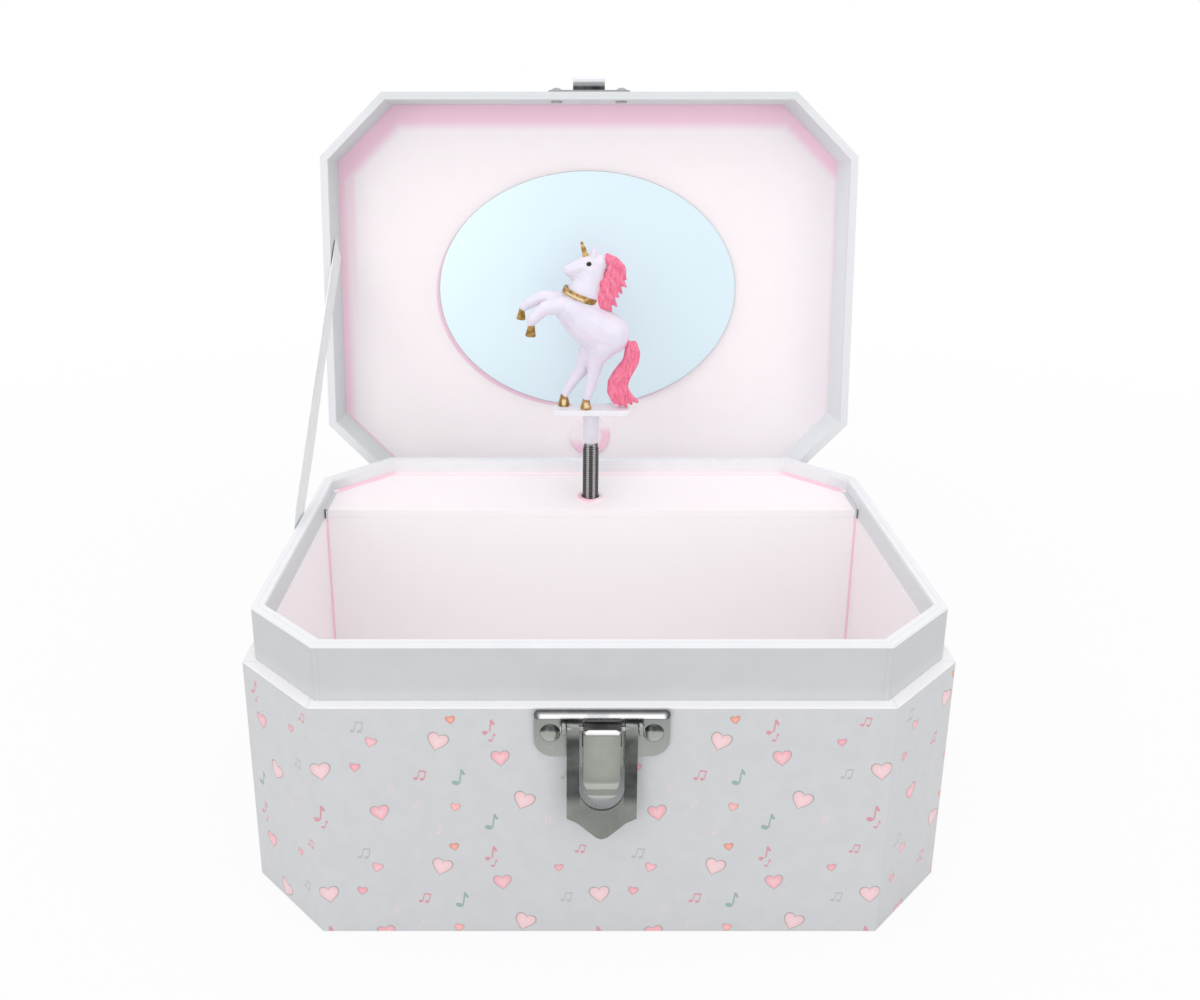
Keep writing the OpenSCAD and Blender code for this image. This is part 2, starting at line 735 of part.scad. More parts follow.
module latch_plate() {
    window_w = hook_w + 0.6;
    color("silver") {
        difference() {
            union() {
                front_extrude(front_y - sheet_t, front_y) {
                    hull() {
                        for (side = [-1, 1])
                            translate([side * (latch_w / 2 - 4.5), roll_z - latch_plate_h + 4])
                                circle(4.5);
                        for (side = [-1, 1])
                            translate([side * (latch_w / 2 - 1.5), roll_z - 1.5]) circle(1.5);
                    }
                    hull() {
                        translate([-7, latch_z - 10]) square([14, 10]);
                        translate([0, latch_z - 17]) circle(7);
                    }
                }
                for (side = [-1, 1]) translate([side * (ear_x + ear_t / 2), latch_y, latch_z])
                    side_extrude(-ear_t / 2, ear_t / 2) union() {
                        circle(1.6);
                        translate([0, -1.6]) square([front_y - latch_y, 3.2]);
                    }
                hull() for (side = [-1, 1])
                    translate([side * (latch_w / 2 - roll_r), front_y - roll_r, roll_z]) sphere(roll_r);
            }
            translate([-window_w / 2, front_y - sheet_t - 1, latch_z - 6])
                cube([window_w, sheet_t + 2, roll_z - roll_r - latch_z + 6]);
            for (side = [-1, 1]) translate([side * latch_rivet_x, 0, latch_rivet_z])
                bar_y(front_y - 2, front_y + 1, rivet_r + rivet_gap);
            translate([0, latch_y, latch_z]) bar_x(-latch_w / 2, latch_w / 2, latch_pin_r);
        }
    }
}

module latch_rivets() {
    color("silver") for (side = [-1, 1]) translate([side * latch_rivet_x, 0, latch_rivet_z])
        rivet(front_y - sheet_t, sheet_t + wall_t, -1, latch_head_r);
}

module latch_pin() {
    half = ear_x + ear_t;
    color("silver") translate([0, latch_y, latch_z]) {
        bar_x(-half, half, latch_pin_r);
        bar_x(-half - 0.5, -half, latch_pin_r + 0.4);
        bar_x(half, half + 0.5, latch_pin_r + 0.4);
    }
}

// The shield-shaped frame; its lower end flares out for the finger
module latch_lever() {
    w = lever_w / 2;
    end = latch_z - lever_l;
    color("silver") difference() {
        union() {
            intersection() {
                front_extrude(front_y - 12, front_y) polygon([[-w, latch_z + 1], [-w, end + 5.2],
                    [-w + 2.6, end + 4], [-w + 5, end + 2], [-w + 7, end + 0.4], [0, end],
                    [w - 7, end + 0.4], [w - 5, end + 2], [w - 2.6, end + 4], [w, end + 5.2],
                    [w, latch_z + 1]]);
                side_extrude(-w, w) polygon([[lever_y + 0.9, latch_z], [lever_y, latch_z],
                    [lever_y - 0.1, end + 14], [lever_y - 0.6, end + 9], [lever_y - 2, end],
                    [lever_y - 1.1, end], [lever_y + 0.3, end + 9], [lever_y + 0.8, end + 14]]);
            }
            translate([0, latch_y, latch_z]) bar_x(-w, w, latch_knuckle_r);
        }
        front_extrude(front_y - 12, front_y) {
            translate([-slot_w / 2, end + 12.5]) square([slot_w, 20]);
            translate([0, end + 12.5]) circle(slot_w / 2);
        }
        translate([0, latch_y, latch_z]) bar_x(-w - 1, w + 1, latch_pin_r + running_gap);
    }
}

// A flat hook that hangs in the slot; its lip curls outwards, and turned up it catches the nose
module latch_hook() {
    w = hook_w / 2;
    end = latch_z - hook_l - sheet_t;
    color("silver") difference() {
        union() {
            intersection() {
                front_extrude(latch_y - lip_out - 1, front_y) union() {
                    translate([-w, end + 3]) square([hook_w, hook_l]);
                    for (side = [-1, 1]) translate([side * (w - 3), end + 3]) circle(3);
                    translate([-w + 3, end]) square([hook_w - 6, 4]);
                }
                side_extrude(-w, w) polygon([[latch_y, latch_z], [latch_y, end + 2],
                    [latch_y - 0.6, end + 0.9], [latch_y - lip_out, end + sheet_t],
                    [latch_y - lip_out, end], [latch_y - 0.2, end], [latch_y + 0.5, end + 0.4],
                    [latch_y + sheet_t, end + 1.6], [latch_y + sheet_t, latch_z]]);
            }
            translate([0, latch_y, latch_z]) bar_x(-w, w, latch_knuckle_r);
        }
        translate([0, latch_y, latch_z]) bar_x(-w - 1, w + 1, latch_pin_r + running_gap);
    }
}

// ---- figure ----

// Close-wound turns, fused where they touch, with a bore down the middle
module coil_spring() {
    turns = floor((spring_top - spring_bottom) / wire_d);
    color("dimgray") translate([0, axis_y, spring_bottom]) rotate_extrude() union() {
        translate([spring_r - wire_d, 0]) square([wire_d * 0.6, turns * wire_d]);
        for (i = [0:turns - 1])
            translate([spring_r - wire_d / 2, (i + 0.5) * wire_d]) circle(wire_d / 2, $fn = 16);
    }
}

module stem() {
    color("white") translate([0, axis_y, 0]) {
        translate([0, 0, spring_top]) cylinder(h = stem_h, r1 = stem_d / 2 - 0.2, r2 = stem_d / 2);
        translate([0, 0, spring_top - 4]) cylinder(h = 4, r = spring_r - wire_d - side_gap);
    }
}

// An oblong plate with rounded corners
module turning_disc() {
    color("white") translate([0, axis_y, disc_z]) linear_extrude(disc_t) hull()
        for (x = [-1, 1], y = [-1, 1]) translate([x * (disc_w / 2 - 2), y * (disc_d / 2 - 2)]) circle(2);
}

module on_disc() {
    translate([0, axis_y, figure_z]) scale(figure_scale) children();
}

module unicorn() {
    color("lavender") on_disc() {
        limb([[5, 0, 20, 5.6], [-1, 0, 26, 5.4], [-5, 0, 31.5, 4.6], [-4, 0, 36, 3.6], [-1, 0, 42, 3.4]]);
        limb([[-0.6, 0, 44, 3.6], [-4.4, 0, 43.4, 2.4], [-7.4, 0, 43.2, 1.8]]);
        limb([[0.2, 1.7, 46.5, 1.1], [0.4, 1.9, 49.6, 0.5]]);
        limb([[0.2, -1.7, 46.5, 1.1], [0.4, -1.9, 49.6, 0.5]]);
        limb([[-2, 0, 46.4, 1], [-3.2, 0, 51.2, 0.4]]);
        limb([[-5.6, -2.2, 32.8, 2.4], [-13.6, -2.3, 34.8, 1.6], [-17.4, -2.3, 28.4, 1.2],
            [-18.6, -2.3, 25.6, 1.4]]);
        limb([[-5.6, 2.2, 33.6, 2.4], [-15, 2.3, 36.6, 1.6], [-20.4, 2.3, 31.8, 1.2],
            [-21.4, 2.3, 29.8, 1.4]]);
        limb([[2.6, -2.2, 18.8, 3.8], [0, -2.3, 11.6, 1.9], [-1, -2.3, 4.6, 1.3], [-1.4, -2.3, 1.4, 1.4]]);
        limb([[1, 2.2, 18.8, 3.6], [-4.4, 2.3, 11.8, 1.9], [-7, 2.3, 4.8, 1.3], [-8, 2.3, 1.4, 1.4]]);
    }
}

module unicorn_mane() {
    color("salmon") on_disc()
        limb([[3.8, 0, 45.6, 2.4], [6.6, 0, 42, 2.8], [6, 0, 37, 2.8], [4.2, 0, 32.6, 1.4]]);
}

module unicorn_tail() {
    color("salmon") on_disc()
        limb([[11.4, 0, 19.6, 1.4], [13, 0, 16, 2], [10, 0, 11, 2.2], [8.2, 0, 6.6, 2.6], [11.8, 0, 2.2, 2]]);
}

outer_walls();
base_board();
collar();
wall_lining();
floor_card();
compartment_front();
shelf();
spring_grommet();
ribbon_stay();
bedplate();
movement_screws();
comb();
comb_screws();
spring_housing();
mainspring();
latch_plate();
latch_rivets();
latch_pin();
hinge_leaves_box();
hinge_pins();
hinge_rivets_box();
lid_walls();
lid_top();
lid_lining();
mirror_plate();  // mirror
lid_pad();
strike_plate();
strike_rivets();
hinge_leaves_lid();
hinge_rivets_lid();
music_cylinder();
cylinder_arbor();
drive_pinion();
cylinder_wheel();
governor_arbor();
governor_fan();
crown_wheel();
key_arbor();
winding_key();
stop_rod();
latch_lever();
latch_hook();
coil_spring();
stem();
turning_disc();
unicorn();
unicorn_mane();
unicorn_tail();
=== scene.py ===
import math

import bmesh
import bpy
import numpy as np
from mathutils import Matrix, Vector


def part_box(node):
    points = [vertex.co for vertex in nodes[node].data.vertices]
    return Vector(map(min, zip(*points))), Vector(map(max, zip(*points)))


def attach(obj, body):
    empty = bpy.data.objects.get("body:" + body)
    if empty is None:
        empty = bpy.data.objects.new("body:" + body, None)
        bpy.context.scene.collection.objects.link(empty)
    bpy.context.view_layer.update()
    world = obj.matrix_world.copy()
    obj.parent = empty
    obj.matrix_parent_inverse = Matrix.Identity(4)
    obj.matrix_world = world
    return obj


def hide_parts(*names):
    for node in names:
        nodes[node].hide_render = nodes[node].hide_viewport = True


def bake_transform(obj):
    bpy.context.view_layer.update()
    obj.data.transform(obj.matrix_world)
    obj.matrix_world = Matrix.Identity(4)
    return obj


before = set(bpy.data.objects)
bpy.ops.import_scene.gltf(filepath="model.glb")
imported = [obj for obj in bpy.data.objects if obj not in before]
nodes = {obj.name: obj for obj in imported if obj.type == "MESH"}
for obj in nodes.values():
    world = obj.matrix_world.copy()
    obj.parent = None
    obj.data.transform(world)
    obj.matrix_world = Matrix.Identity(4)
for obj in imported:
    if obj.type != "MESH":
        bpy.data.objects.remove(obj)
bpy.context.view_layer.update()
scene = bpy.context.scene


# ---- Camera ----
# The view is from the front, a little above the open box, and looks down into it. The lens shift
# only frames it.
DOWNWARD = 16.68
eye = bpy.data.cameras.new("eye")
eye.sensor_width = 36
eye.lens = 32.78
eye.shift_x, eye.shift_y = 0.0335, -0.0904
eye.clip_start = 0.01
camera = bpy.data.objects.new("camera", eye)
camera.location = (-0.0099, -0.2902, 0.2083)
camera.rotation_euler = (math.radians(90 - DOWNWARD), 0, 0)
scene.collection.objects.link(camera)
scene.camera = camera


# ---- Studio ----
# A pale floor that runs out of sight, and a white room round it. One large soft lamp hangs
# overhead and two stand in front, the stronger of them at the left, so that the paper shows its
# own colour.
class Wire:
    """An output in a node tree. Sums on wires add Math nodes, and node() adds any other."""

    def __init__(self, tree, socket=None):
        self.tree, self.socket = tree, socket

    def node(self, kind, inputs=None, out=0, stops=None, **settings):
        made = self.tree.nodes.new("ShaderNode" + kind)
        for name, value in settings.items():
            setattr(made, name, value)
        if stops:
            ends = made.color_ramp.elements
            ends[0].position, ends[1].position = stops[0][0], stops[-1][0]
            for place, _ in stops[1:-1]:
                ends.new(place)
            for end, (_, colour) in zip(ends, stops):
                end.color = colour
        for name, value in (inputs or {}).items():
            if isinstance(value, Wire):
                self.tree.links.new(value.socket, made.inputs[name])
            else:
                made.inputs[name].default_value = value
        return Wire(self.tree, made.outputs[out] if made.outputs else None)

    def math(self, operation, *values):
        return self.node("Math", dict(enumerate((self, *values))), operation=operation)

    def __add__(self, other):
        return self.math("ADD", other)

    __radd__ = __add__

    def __mul__(self, other):
        return self.math("MULTIPLY", other)

    __rmul__ = __mul__

    def __sub__(self, other):
        return self.math("SUBTRACT", other)

    def __rsub__(self, other):
        return self * -1 + other

    def __truediv__(self, other):
        return self.math("DIVIDE", other)

    def __pow__(self, other):
        return self.math("POWER", other)

    def __abs__(self):
        return self.math("ABSOLUTE")

    def __lt__(self, other):
        return self.math("LESS_THAN", other)

    def __gt__(self, other):
        return self.math("GREATER_THAN", other)

    def smaller(self, other):
        return self.math("MINIMUM", other)

    def larger(self, other):
        return self.math("MAXIMUM", other)

    def ease(self, low, high):
        """0 below low, 1 above high and smooth between, which may run either way."""
        ways = {"Value": self, "From Min": low, "From Max": high}
        return self.node("MapRange", ways, interpolation_type="SMOOTHSTEP")

    def mix(self, low, high):
        """The colour low where this wire is 0, and high where it is 1."""
        return self.node("Mix", {0: self, 6: low, 7: high}, out=2, data_type="RGBA")

    def parts(self):
        split = self.node("SeparateXYZ", {0: self}).socket.node
        return [Wire(self.tree, socket) for socket in split.outputs]

    def noise(self, size, detail=2):
        """Noise whose features are about size metres across; self is a place."""
        return self.node("TexNoise", {"Vector": self, "Scale": 1 / size, "Detail": detail})


def rgb(red, green, blue):
    """A colour as it looks on screen, 0 to 255, for a colour socket."""
    screen = [c / 255 for c in (red, green, blue)]
    return [c / 12.92 if c < 0.04045 else ((c + 0.055) / 1.055) ** 2.4 for c in screen] + [1]


def seen_white(wire, lit, white_share):
    """lit, mixed with plain white where the camera, a gloss or a glass looks at it."""
    path = wire.node("LightPath").socket.node.outputs
    rays = [Wire(wire.tree, path[f"Is {ray} Ray"]) for ray in ("Camera", "Glossy", "Transmission")]
    seen = rays[0].larger(rays[1]).larger(rays[2])
    white = wire.node("Emission", {"Color": (1, 1, 1, 1), "Strength": 1})
    return wire.node("MixShader", {0: seen * white_share, 1: lit, 2: white})


FLOOR_SIZE = 6
FLOOR_DROP = 0.0002
FAR_WHITE, NEAR_WHITE = 1.0, 0.88
bpy.ops.mesh.primitive_grid_add(x_subdivisions=8, y_subdivisions=8, size=FLOOR_SIZE)
floor = bpy.context.object
floor.name = "floor"
floor.location.z = -FLOOR_DROP
floor_paper = bpy.data.materials.new("floor_paper")
floor_paper.use_nodes = True
floor_paper.node_tree.nodes.clear()
ground = Wire(floor_paper.node_tree)
middle = ground.node("NewGeometry")
away = middle.node("VectorMath", {0: middle}, out=1, operation="LENGTH")
matt = ground.node("BsdfDiffuse", {"Color": rgb(238, 238, 240)})
white_share = away.ease(0.15, 0.7) * (FAR_WHITE - NEAR_WHITE) + NEAR_WHITE
ground.node("OutputMaterial", {0: seen_white(ground, matt, white_share)})
floor.data.materials.append(floor_paper)

room = bpy.data.worlds.new("room")
room.use_nodes = True
room.node_tree.nodes.clear()
air = Wire(room.node_tree)
ROOM_LIGHT = 0.9
light = air.node("Background", {0: (1, 1, 1, 1), 1: ROOM_LIGHT})
air.node("OutputWorld", {0: seen_white(air, light, 1.0)})
scene.world = room


def lamp(name, place, aim, size, watts):
    light = bpy.data.lights.new(name, "AREA")
    light.shape = "RECTANGLE"
    light.size, light.size_y = size
    light.energy = watts
    stand = bpy.data.objects.new(name, light)
    stand.location = place
    stand.rotation_euler = (Vector(aim) - Vector(place)).to_track_quat("-Z", "Y").to_euler()
    scene.collection.objects.link(stand)


lamp("overhead_lamp", (0.05, -0.15, 1.1), (0, 0.02, 0.1), (1.0, 0.9), 1.8)
lamp("left_lamp", (-0.6, -1.15, 0.55), (0, 0, 0.08), (0.6, 0.8), 2.25)
lamp("right_lamp", (0.8, -1.0, 0.5), (0, 0, 0.1), (0.5, 0.7), 0.8)
scene.view_settings.view_transform = "Standard"


# ---- Outer walls ----
# Thick board wrapped in printed white paper, glued down with softly folded corners. The print
# repeats small hearts and music notes round all eight faces. The top edge is left plain.
def finish(name, recipe):
    """A material. recipe takes the place on the piece and gives the shader's inputs by name."""
    material = bpy.data.materials.new(name)
    material.use_nodes = True
    material.node_tree.nodes.clear()
    place = Wire(material.node_tree).node("TexCoord", out="Object")
    inputs = recipe(place)
    if "Relief" in inputs:
        height, depth = inputs.pop("Relief")
        inputs["Normal"] = place.node("Bump", {"Height": height, "Distance": depth})
    place.node("OutputMaterial", {0: place.node("BsdfPrincipled", inputs)})
    return material


def cover(material, *pieces):
    """Gives each piece, or each CAD node named, the material."""
    for piece in pieces:
        piece = nodes.get(piece, piece) if isinstance(piece, str) else piece
        if not piece.material_slots:
            piece.data.materials.append(material)
        for holder in piece.material_slots:
            holder.material = material


ONE_PLACE = 5e-6
FLAT, SHARP = math.radians(1), math.radians(35)


def soften(width, *names, steps=2):
    """Rounds the edges of CAD nodes by a modifier, so that they catch the light."""
    for name in names:
        weld = nodes[name].modifiers.new("weld", "WELD")
        weld.merge_threshold = ONE_PLACE
        flat = nodes[name].modifiers.new("flat", "DECIMATE")
        flat.decimate_type = "DISSOLVE"
        flat.angle_limit = FLAT
        edge = nodes[name].modifiers.new("edge", "BEVEL")
        edge.width, edge.segments = width, steps
        edge.limit_method = "ANGLE"
        edge.angle_limit = SHARP
        edge.harden_normals = True


MM, PER_METRE = 0.001, 1000
HALF_WIDTH, HALF_DEPTH = 90.0, 66.5
CORNER = 20.8
FRONT_END, SIDE_END = HALF_WIDTH - CORNER, HALF_DEPTH - CORNER
CORNER_FACE = CORNER * math.sqrt(2)
WALL_TOP, PRINT_DEPTH = 63.75, 0.9


def in_mm(place):
    return [part * PER_METRE for part in place.parts()]


def round_the_box(x, y):
    """How far round the walls a place is, in mm from the middle of the front."""
    past_front = (abs(x) - FRONT_END).larger(0).smaller(CORNER)
    ahead = abs(x).smaller(FRONT_END) + past_front * math.sqrt(2)
    side = (y + SIDE_END).larger(0).smaller(2 * SIDE_END)
    way = FRONT_END + CORNER_FACE
    run = side + way + (ahead * -1 + way) * y.math("SIGN")
    return run * x.math("SIGN")


def out_of_line(x, y):
    """How far a place lies outside the wall's outer faces, in mm; negative inside."""
    slant = (abs(x) + abs(y) - (HALF_WIDTH + SIDE_END)) / math.sqrt(2)
    return (abs(x) - HALF_WIDTH).larger(abs(y) - HALF_DEPTH).larger(slant)


# One repeat of the print. Each mark is its place in mm, its half size in mm, its tilt in degrees
# and its colour on the ramp.
REPEAT = (67.0, 35.5)
REPEAT_START = (-2.9, -7.2)
HEARTS = ((0.0, 10.7, 2.65, 6, 0.1), (8.2, 12.0, 1.35, -8, 0.5), (13.8, -0.9, 2.4, 10, 0.3),
          (12.2, 18.9, 1.5, -18, 0.3), (28.0, 18.9, 2.65, -16, 0.1), (31.4, 25.0, 1.25, 8, 0.9),
          (43.0, 14.4, 2.35, 4, 0.3), (31.8, 0.9, 1.3, -14, 0.7), (48.2, 2.5, 2.7, -20, 0.1),
          (56.9, 18.9, 1.2, 5, 0.5))
SINGLE_NOTES = ((-0.9, -0.9, 2.3, -6, 0.1), (0.2, -3.9, 1.2, -10, 0.1), (40.5, 23.1, 2.2, -6, 0.1),
                (41.2, 20.4, 1.2, -10, 0.1), (33.1, 9.4, 2.3, -8, 0.5), (40.8, -3.2, 2.3, -8, 0.5),
                (27.9, -5.4, 1.3, 10, 0.9), (22.6, 2.0, 1.1, -20, 0.9))
PAIRED_NOTES = ((9.4, 23.2, 1.7, -12, 0.7), (23.8, 10.0, 1.6, -14, 0.1),
                (62.3, 24.6, 1.4, -14, 0.1), (58.9, 10.3, 1.6, -12, 0.7),
                (54.2, -2.6, 1.2, 8, 0.9), (16.4, 6.6, 1.0, 20, 0.9))
HEART_COLOURS = [(0, rgb(238, 200, 204)), (0.2, rgb(240, 176, 186)), (0.4, rgb(235, 156, 170)),
                 (0.6, rgb(246, 170, 168)), (0.8, rgb(236, 146, 120))]
OFF_THE_MARK, MARK_REACH = 9, 1.45
NOTE_COLOURS = [(0, rgb(212, 140, 152)), (0.4, rgb(140, 170, 160)), (0.6, rgb(176, 184, 184)),
                (0.8, rgb(226, 207, 211))]


def chosen(place, marks):
    """The nearest mark's own place, its half size as 1, and its colour on the ramp."""
    found = place.node("CombineXYZ", {0: OFF_THE_MARK, 1: OFF_THE_MARK, 2: 0})
    for across, up, half, tilt, colour in marks:
        own = place.node("Mapping", {
            "Vector": place, "Location": (across, up, -colour * half * MM),
            "Rotation": (0, 0, math.radians(tilt)), "Scale": (half, half, half)},
            vector_type="TEXTURE")
        near = own.node("VectorMath", {0: own}, out=1, operation="LENGTH")
        near = near < MARK_REACH
        found = near.node("Mix", {0: near, 4: found, 5: own}, out=1, data_type="VECTOR")
    across, up, colour = found.parts()
    return across, up, colour * PER_METRE


def hearts(place):
    """(heart shapes, their colours): 1 inside, and the outline drawn in grey green."""
    across, up, shade = chosen(place, HEARTS)
    side = abs(across)
    level = side ** 2 + (up * 1.22 + 0.12 - side.math("SQRT") * 0.82) ** 2
    ink = place.node("ValToRGB", {0: shade}, stops=HEART_COLOURS)
    ink.socket.node.color_ramp.interpolation = "CONSTANT"
    light = level.ease(0.5, 0.0) * 0.35
    filled = light.mix(ink, rgb(250, 226, 228))
    lined = level.ease(0.66, 0.84).mix(filled, rgb(168, 164, 160))
    return level.ease(1.04, 0.92), lined


def bar(across, up, at, half):
    """1 on an upright rectangle round the point at, in a mark's own units."""
    spread = (abs(across - at[0]) / half[0]).larger(abs(up - at[1]) / half[1])
    return spread.ease(1.15, 0.85)


def dot(across, up, at, half):
    """1 on an ellipse round the point at."""
    spread = ((across - at[0]) / half[0]) ** 2 + ((up - at[1]) / half[1]) ** 2
    return spread.ease(1.2, 0.8)


def music_notes(place):
    """(note shapes, their colours), single notes and pairs joined by a beam."""
    across, up, shade = chosen(place, SINGLE_NOTES)
    head = dot(across + up * 0.25, up, (-0.5, -0.68), (0.4, 0.28))
    stem = bar(across, up, (0.08, 0.15), (0.09, 0.85))
    flag = bar(across * 0.8 + up * 0.6, across * -0.6 + up * 0.8, (0.63, 0.42), (0.14, 0.36))
    single = head.larger(stem).larger(flag)
    across, up, other = chosen(place, PAIRED_NOTES)
    second = across > 0.05
    fold = across - second * 0.95
    lift = up - second * 0.12
    head = dot(fold, lift, (-0.62, -0.7), (0.34, 0.26))
    stem = bar(fold, lift, (-0.33, 0.05), (0.09, 0.8))
    beam = bar(across, up - across * 0.12, (0.15, 0.8), (0.55, 0.15))
    pair = head.larger(stem).larger(beam)
    ink = place.node("ValToRGB", {0: (pair > 0.01).mix(shade, other)}, stops=NOTE_COLOURS)
    ink.socket.node.color_ramp.interpolation = "CONSTANT"
    return single.larger(pair), ink


def paper_fibres(place):
    """Height of the paper's surface: fine fibres over a faint unevenness of the glue."""
    long_way = place.node("Mapping", {"Vector": place, "Scale": (1, 1, 2.2)})
    return long_way.noise(0.0005, 3) * 0.6 + place.noise(0.012, 2) * 0.6


def printed(place, round_way, height, plain):
    """The printed paper's colour, where plain is 1 on what stays bare."""
    spot = place.node("CombineXYZ", {0: round_way, 1: height, 2: 0})
    low, high = (*REPEAT_START, -1), (REPEAT_START[0] + REPEAT[0], REPEAT_START[1] + REPEAT[1], 1)
    spot = place.node("VectorMath", {0: spot, 1: high, 2: low}, operation="WRAP")
    tone = place.noise(0.004, 3)
    # Painted shade: the paper's ground is greyed for the upright faces.
    paper = tone.ease(0.2, 0.8).mix(rgb(202, 203, 205), rgb(206, 207, 209))
    speck = place.noise(0.0012, 0).ease(0.78, 0.82) * 0.2
    paper = speck.mix(paper, rgb(214, 196, 200))
    notes, note_ink = music_notes(spot)
    paper = (notes * 0.85).mix(paper, note_ink)
    heart, heart_ink = hearts(spot)
    paper = (heart * 0.95).mix(paper, heart_ink)
    # Painted light: what stays bare, such as the top edge, takes a lighter white.
    return plain.mix(paper, rgb(248, 248, 250))


def outer_paper(place):
    x, y, z = in_mm(place)
    plain = (z > WALL_TOP).larger(out_of_line(x, y) < -PRINT_DEPTH)
    fold = abs(abs(x) - FRONT_END).smaller(abs(abs(y) - SIDE_END)).ease(0.6, 0.0)
    colour = printed(place, round_the_box(x, y), z, plain)
    return {"Base Color": (fold * 0.25).mix(colour, rgb(205, 205, 208)),
            "Roughness": paper_fibres(place) * 0.06 + 0.42,
            "Relief": (paper_fibres(place), 0.00004), "Specular IOR Level": 0.35}


cover(finish("printed_paper", outer_paper), "outer_walls")
soften(0.0005, "outer_walls")


# ---- Base board ----
# The bottom is a white board set inside the walls, flush with their lower edge, and covered with
# plain white paper.
def papered(tones, rough=0.42):
    """Plain paper on board. tones takes the place in mm and the paper's own faint mottling."""
    def recipe(place):
        mottle = place.noise(0.006, 3).ease(0.25, 0.75)
        return {"Base Color": tones(place, mottle), "Roughness": mottle * 0.06 + rough,
                "Relief": (paper_fibres(place), 0.00004), "Specular IOR Level": 0.35}
    return recipe


cover(finish("white_paper", papered(
    lambda place, mottle: mottle.mix(rgb(226, 226, 229), rgb(230, 230, 233)))), "base_board")
soften(0.0003, "base_board")


# ---- Collar ----
# A liner of papered board that stands up above the walls, and that the lid drops over. Its white
# paper is turned in over the rounded top edge. Outside it is painted greyer, as painted shade, and
# paler towards its foot, as painted light, with a painted shade line at each corner fold. On the
# two sides the turn-in is painted darker, as painted shade, most at the left.
COLLAR_SET_IN, TURN_OVER, COLLAR_FOLD = 3.5, 77.9, 67.3


def collar_tones(place, mottle):
    x, y, z = in_mm(place)
    outside = (out_of_line(x, y) > -COLLAR_SET_IN) * (z < TURN_OVER)
    # Painted shade: a darker line at each corner fold.
    fold = abs(abs(abs(x) - COLLAR_FOLD) - 0.7).ease(0.35, 0.0) * 0.3
    seam = abs(out_of_line(x, y) + 4.5).ease(0.35, 0.1) * z.ease(78.2, 78.6) * 0.25
    white = mottle.mix(rgb(236, 237, 240), rgb(239, 240, 243))
    # Painted shade on the turn-in of the two sides, darker at the left.
    side = x.ease(-70, 0).mix(rgb(214, 217, 220), rgb(224, 227, 230))
    white = (abs(x).ease(77, 84) * (z < 77.6)).mix(white, side)
    # Painted light towards the foot; the outside's grey is painted shade.
    low_light = z.ease(68.5, 64.5) * 0.5
    grey = mottle.mix(rgb(197, 198, 201), rgb(200, 201, 204))
    grey = fold.mix(low_light.mix(grey, rgb(214, 215, 218)), rgb(178, 186, 188))
    return seam.mix(outside.mix(white, grey), rgb(214, 214, 218))


cover(finish("collar_paper", papered(collar_tones)), "collar")
soften(0.0009, "collar", steps=4)


# ---- Lining, floor card and compartment ----
# Pale pink paper lines the walls below the white turn-in. Pink cards make the floor, the upright
# front of the music compartment and the shelf over it. The board's upright front, and the floor
# before it, are painted paler, as painted light; a deeper pink band of painted shade runs along
# the shelf's back edge.
def plain_tones(dark, pale):
    return lambda place, mottle: mottle.mix(rgb(*dark), rgb(*pale))


cover(finish("pink_lining_paper", papered(plain_tones((255, 247, 250), (255, 249, 251)), 0.5)),
      "wall_lining")


FLOOR_TOP, SHELF_TOP, BOARD_FRONT = 3.1, 73.9, 28.5


def card_tones(place, mottle):
    x, y, z = in_mm(place)
    # Painted shade: a deeper pink band along the shelf's back edge, under the collar's rim.
    shade_under_rim = z.ease(SHELF_TOP - 0.7, SHELF_TOP) * y.ease(58.0, 59.8) * 0.6
    card = mottle.mix(rgb(255, 246, 249), rgb(255, 248, 250))
    # Painted light: the board's upright front, and the floor before it, are paler.
    card = (y < BOARD_FRONT + 0.3).mix(card, rgb(255, 252, 253))
    return shade_under_rim.mix(card, rgb(255, 212, 226))


cover(finish("pink_card", papered(card_tones, 0.5)), "floor_card", "compartment_front", "shelf")
soften(0.00015, "compartment_front", "shelf")


# ---- Corner tapes ----
# Narrow folded strips of pink paper, glued into the corners: one round the back of the shelf, and
# one down each end of the upright front. They carry painted shade: a deeper pink down the corner
# strips and at the shelf's slanted corners, and grey along the shelf's sides.
def joined(shape, rings):
    """Faces between closed rings of points, one after the other, and over both ends."""
    for ring, after in zip(rings, rings[1:]):
        for i in range(len(ring)):
            shape.faces.new((ring[i], ring[i - 1], after[i - 1], after[i]))
    shape.faces.new(rings[0])
    shape.faces.new(rings[-1][::-1])
    bmesh.ops.recalc_face_normals(shape, faces=shape.faces[:])


def strip(shape, path, profile):
    """A strip of a closed profile along a path; profile points are (inwards, up) in mm."""
    points = [Vector(point) for point in path]
    rows = []
    for before, at, after in zip([points[0]] + points, points, points[1:] + [points[-1]]):
        sides = [Vector((-way.y, way.x, 0)).normalized()
                 for way in (at - before, after - at) if way.length > 0]
        inward = sum(sides, Vector()).normalized()
        inward /= inward.dot(sides[0])
        rows.append([shape.verts.new((at + inward * i + Vector((0, 0, up))) * MM)
                     for i, up in profile])
    joined(shape, rows)


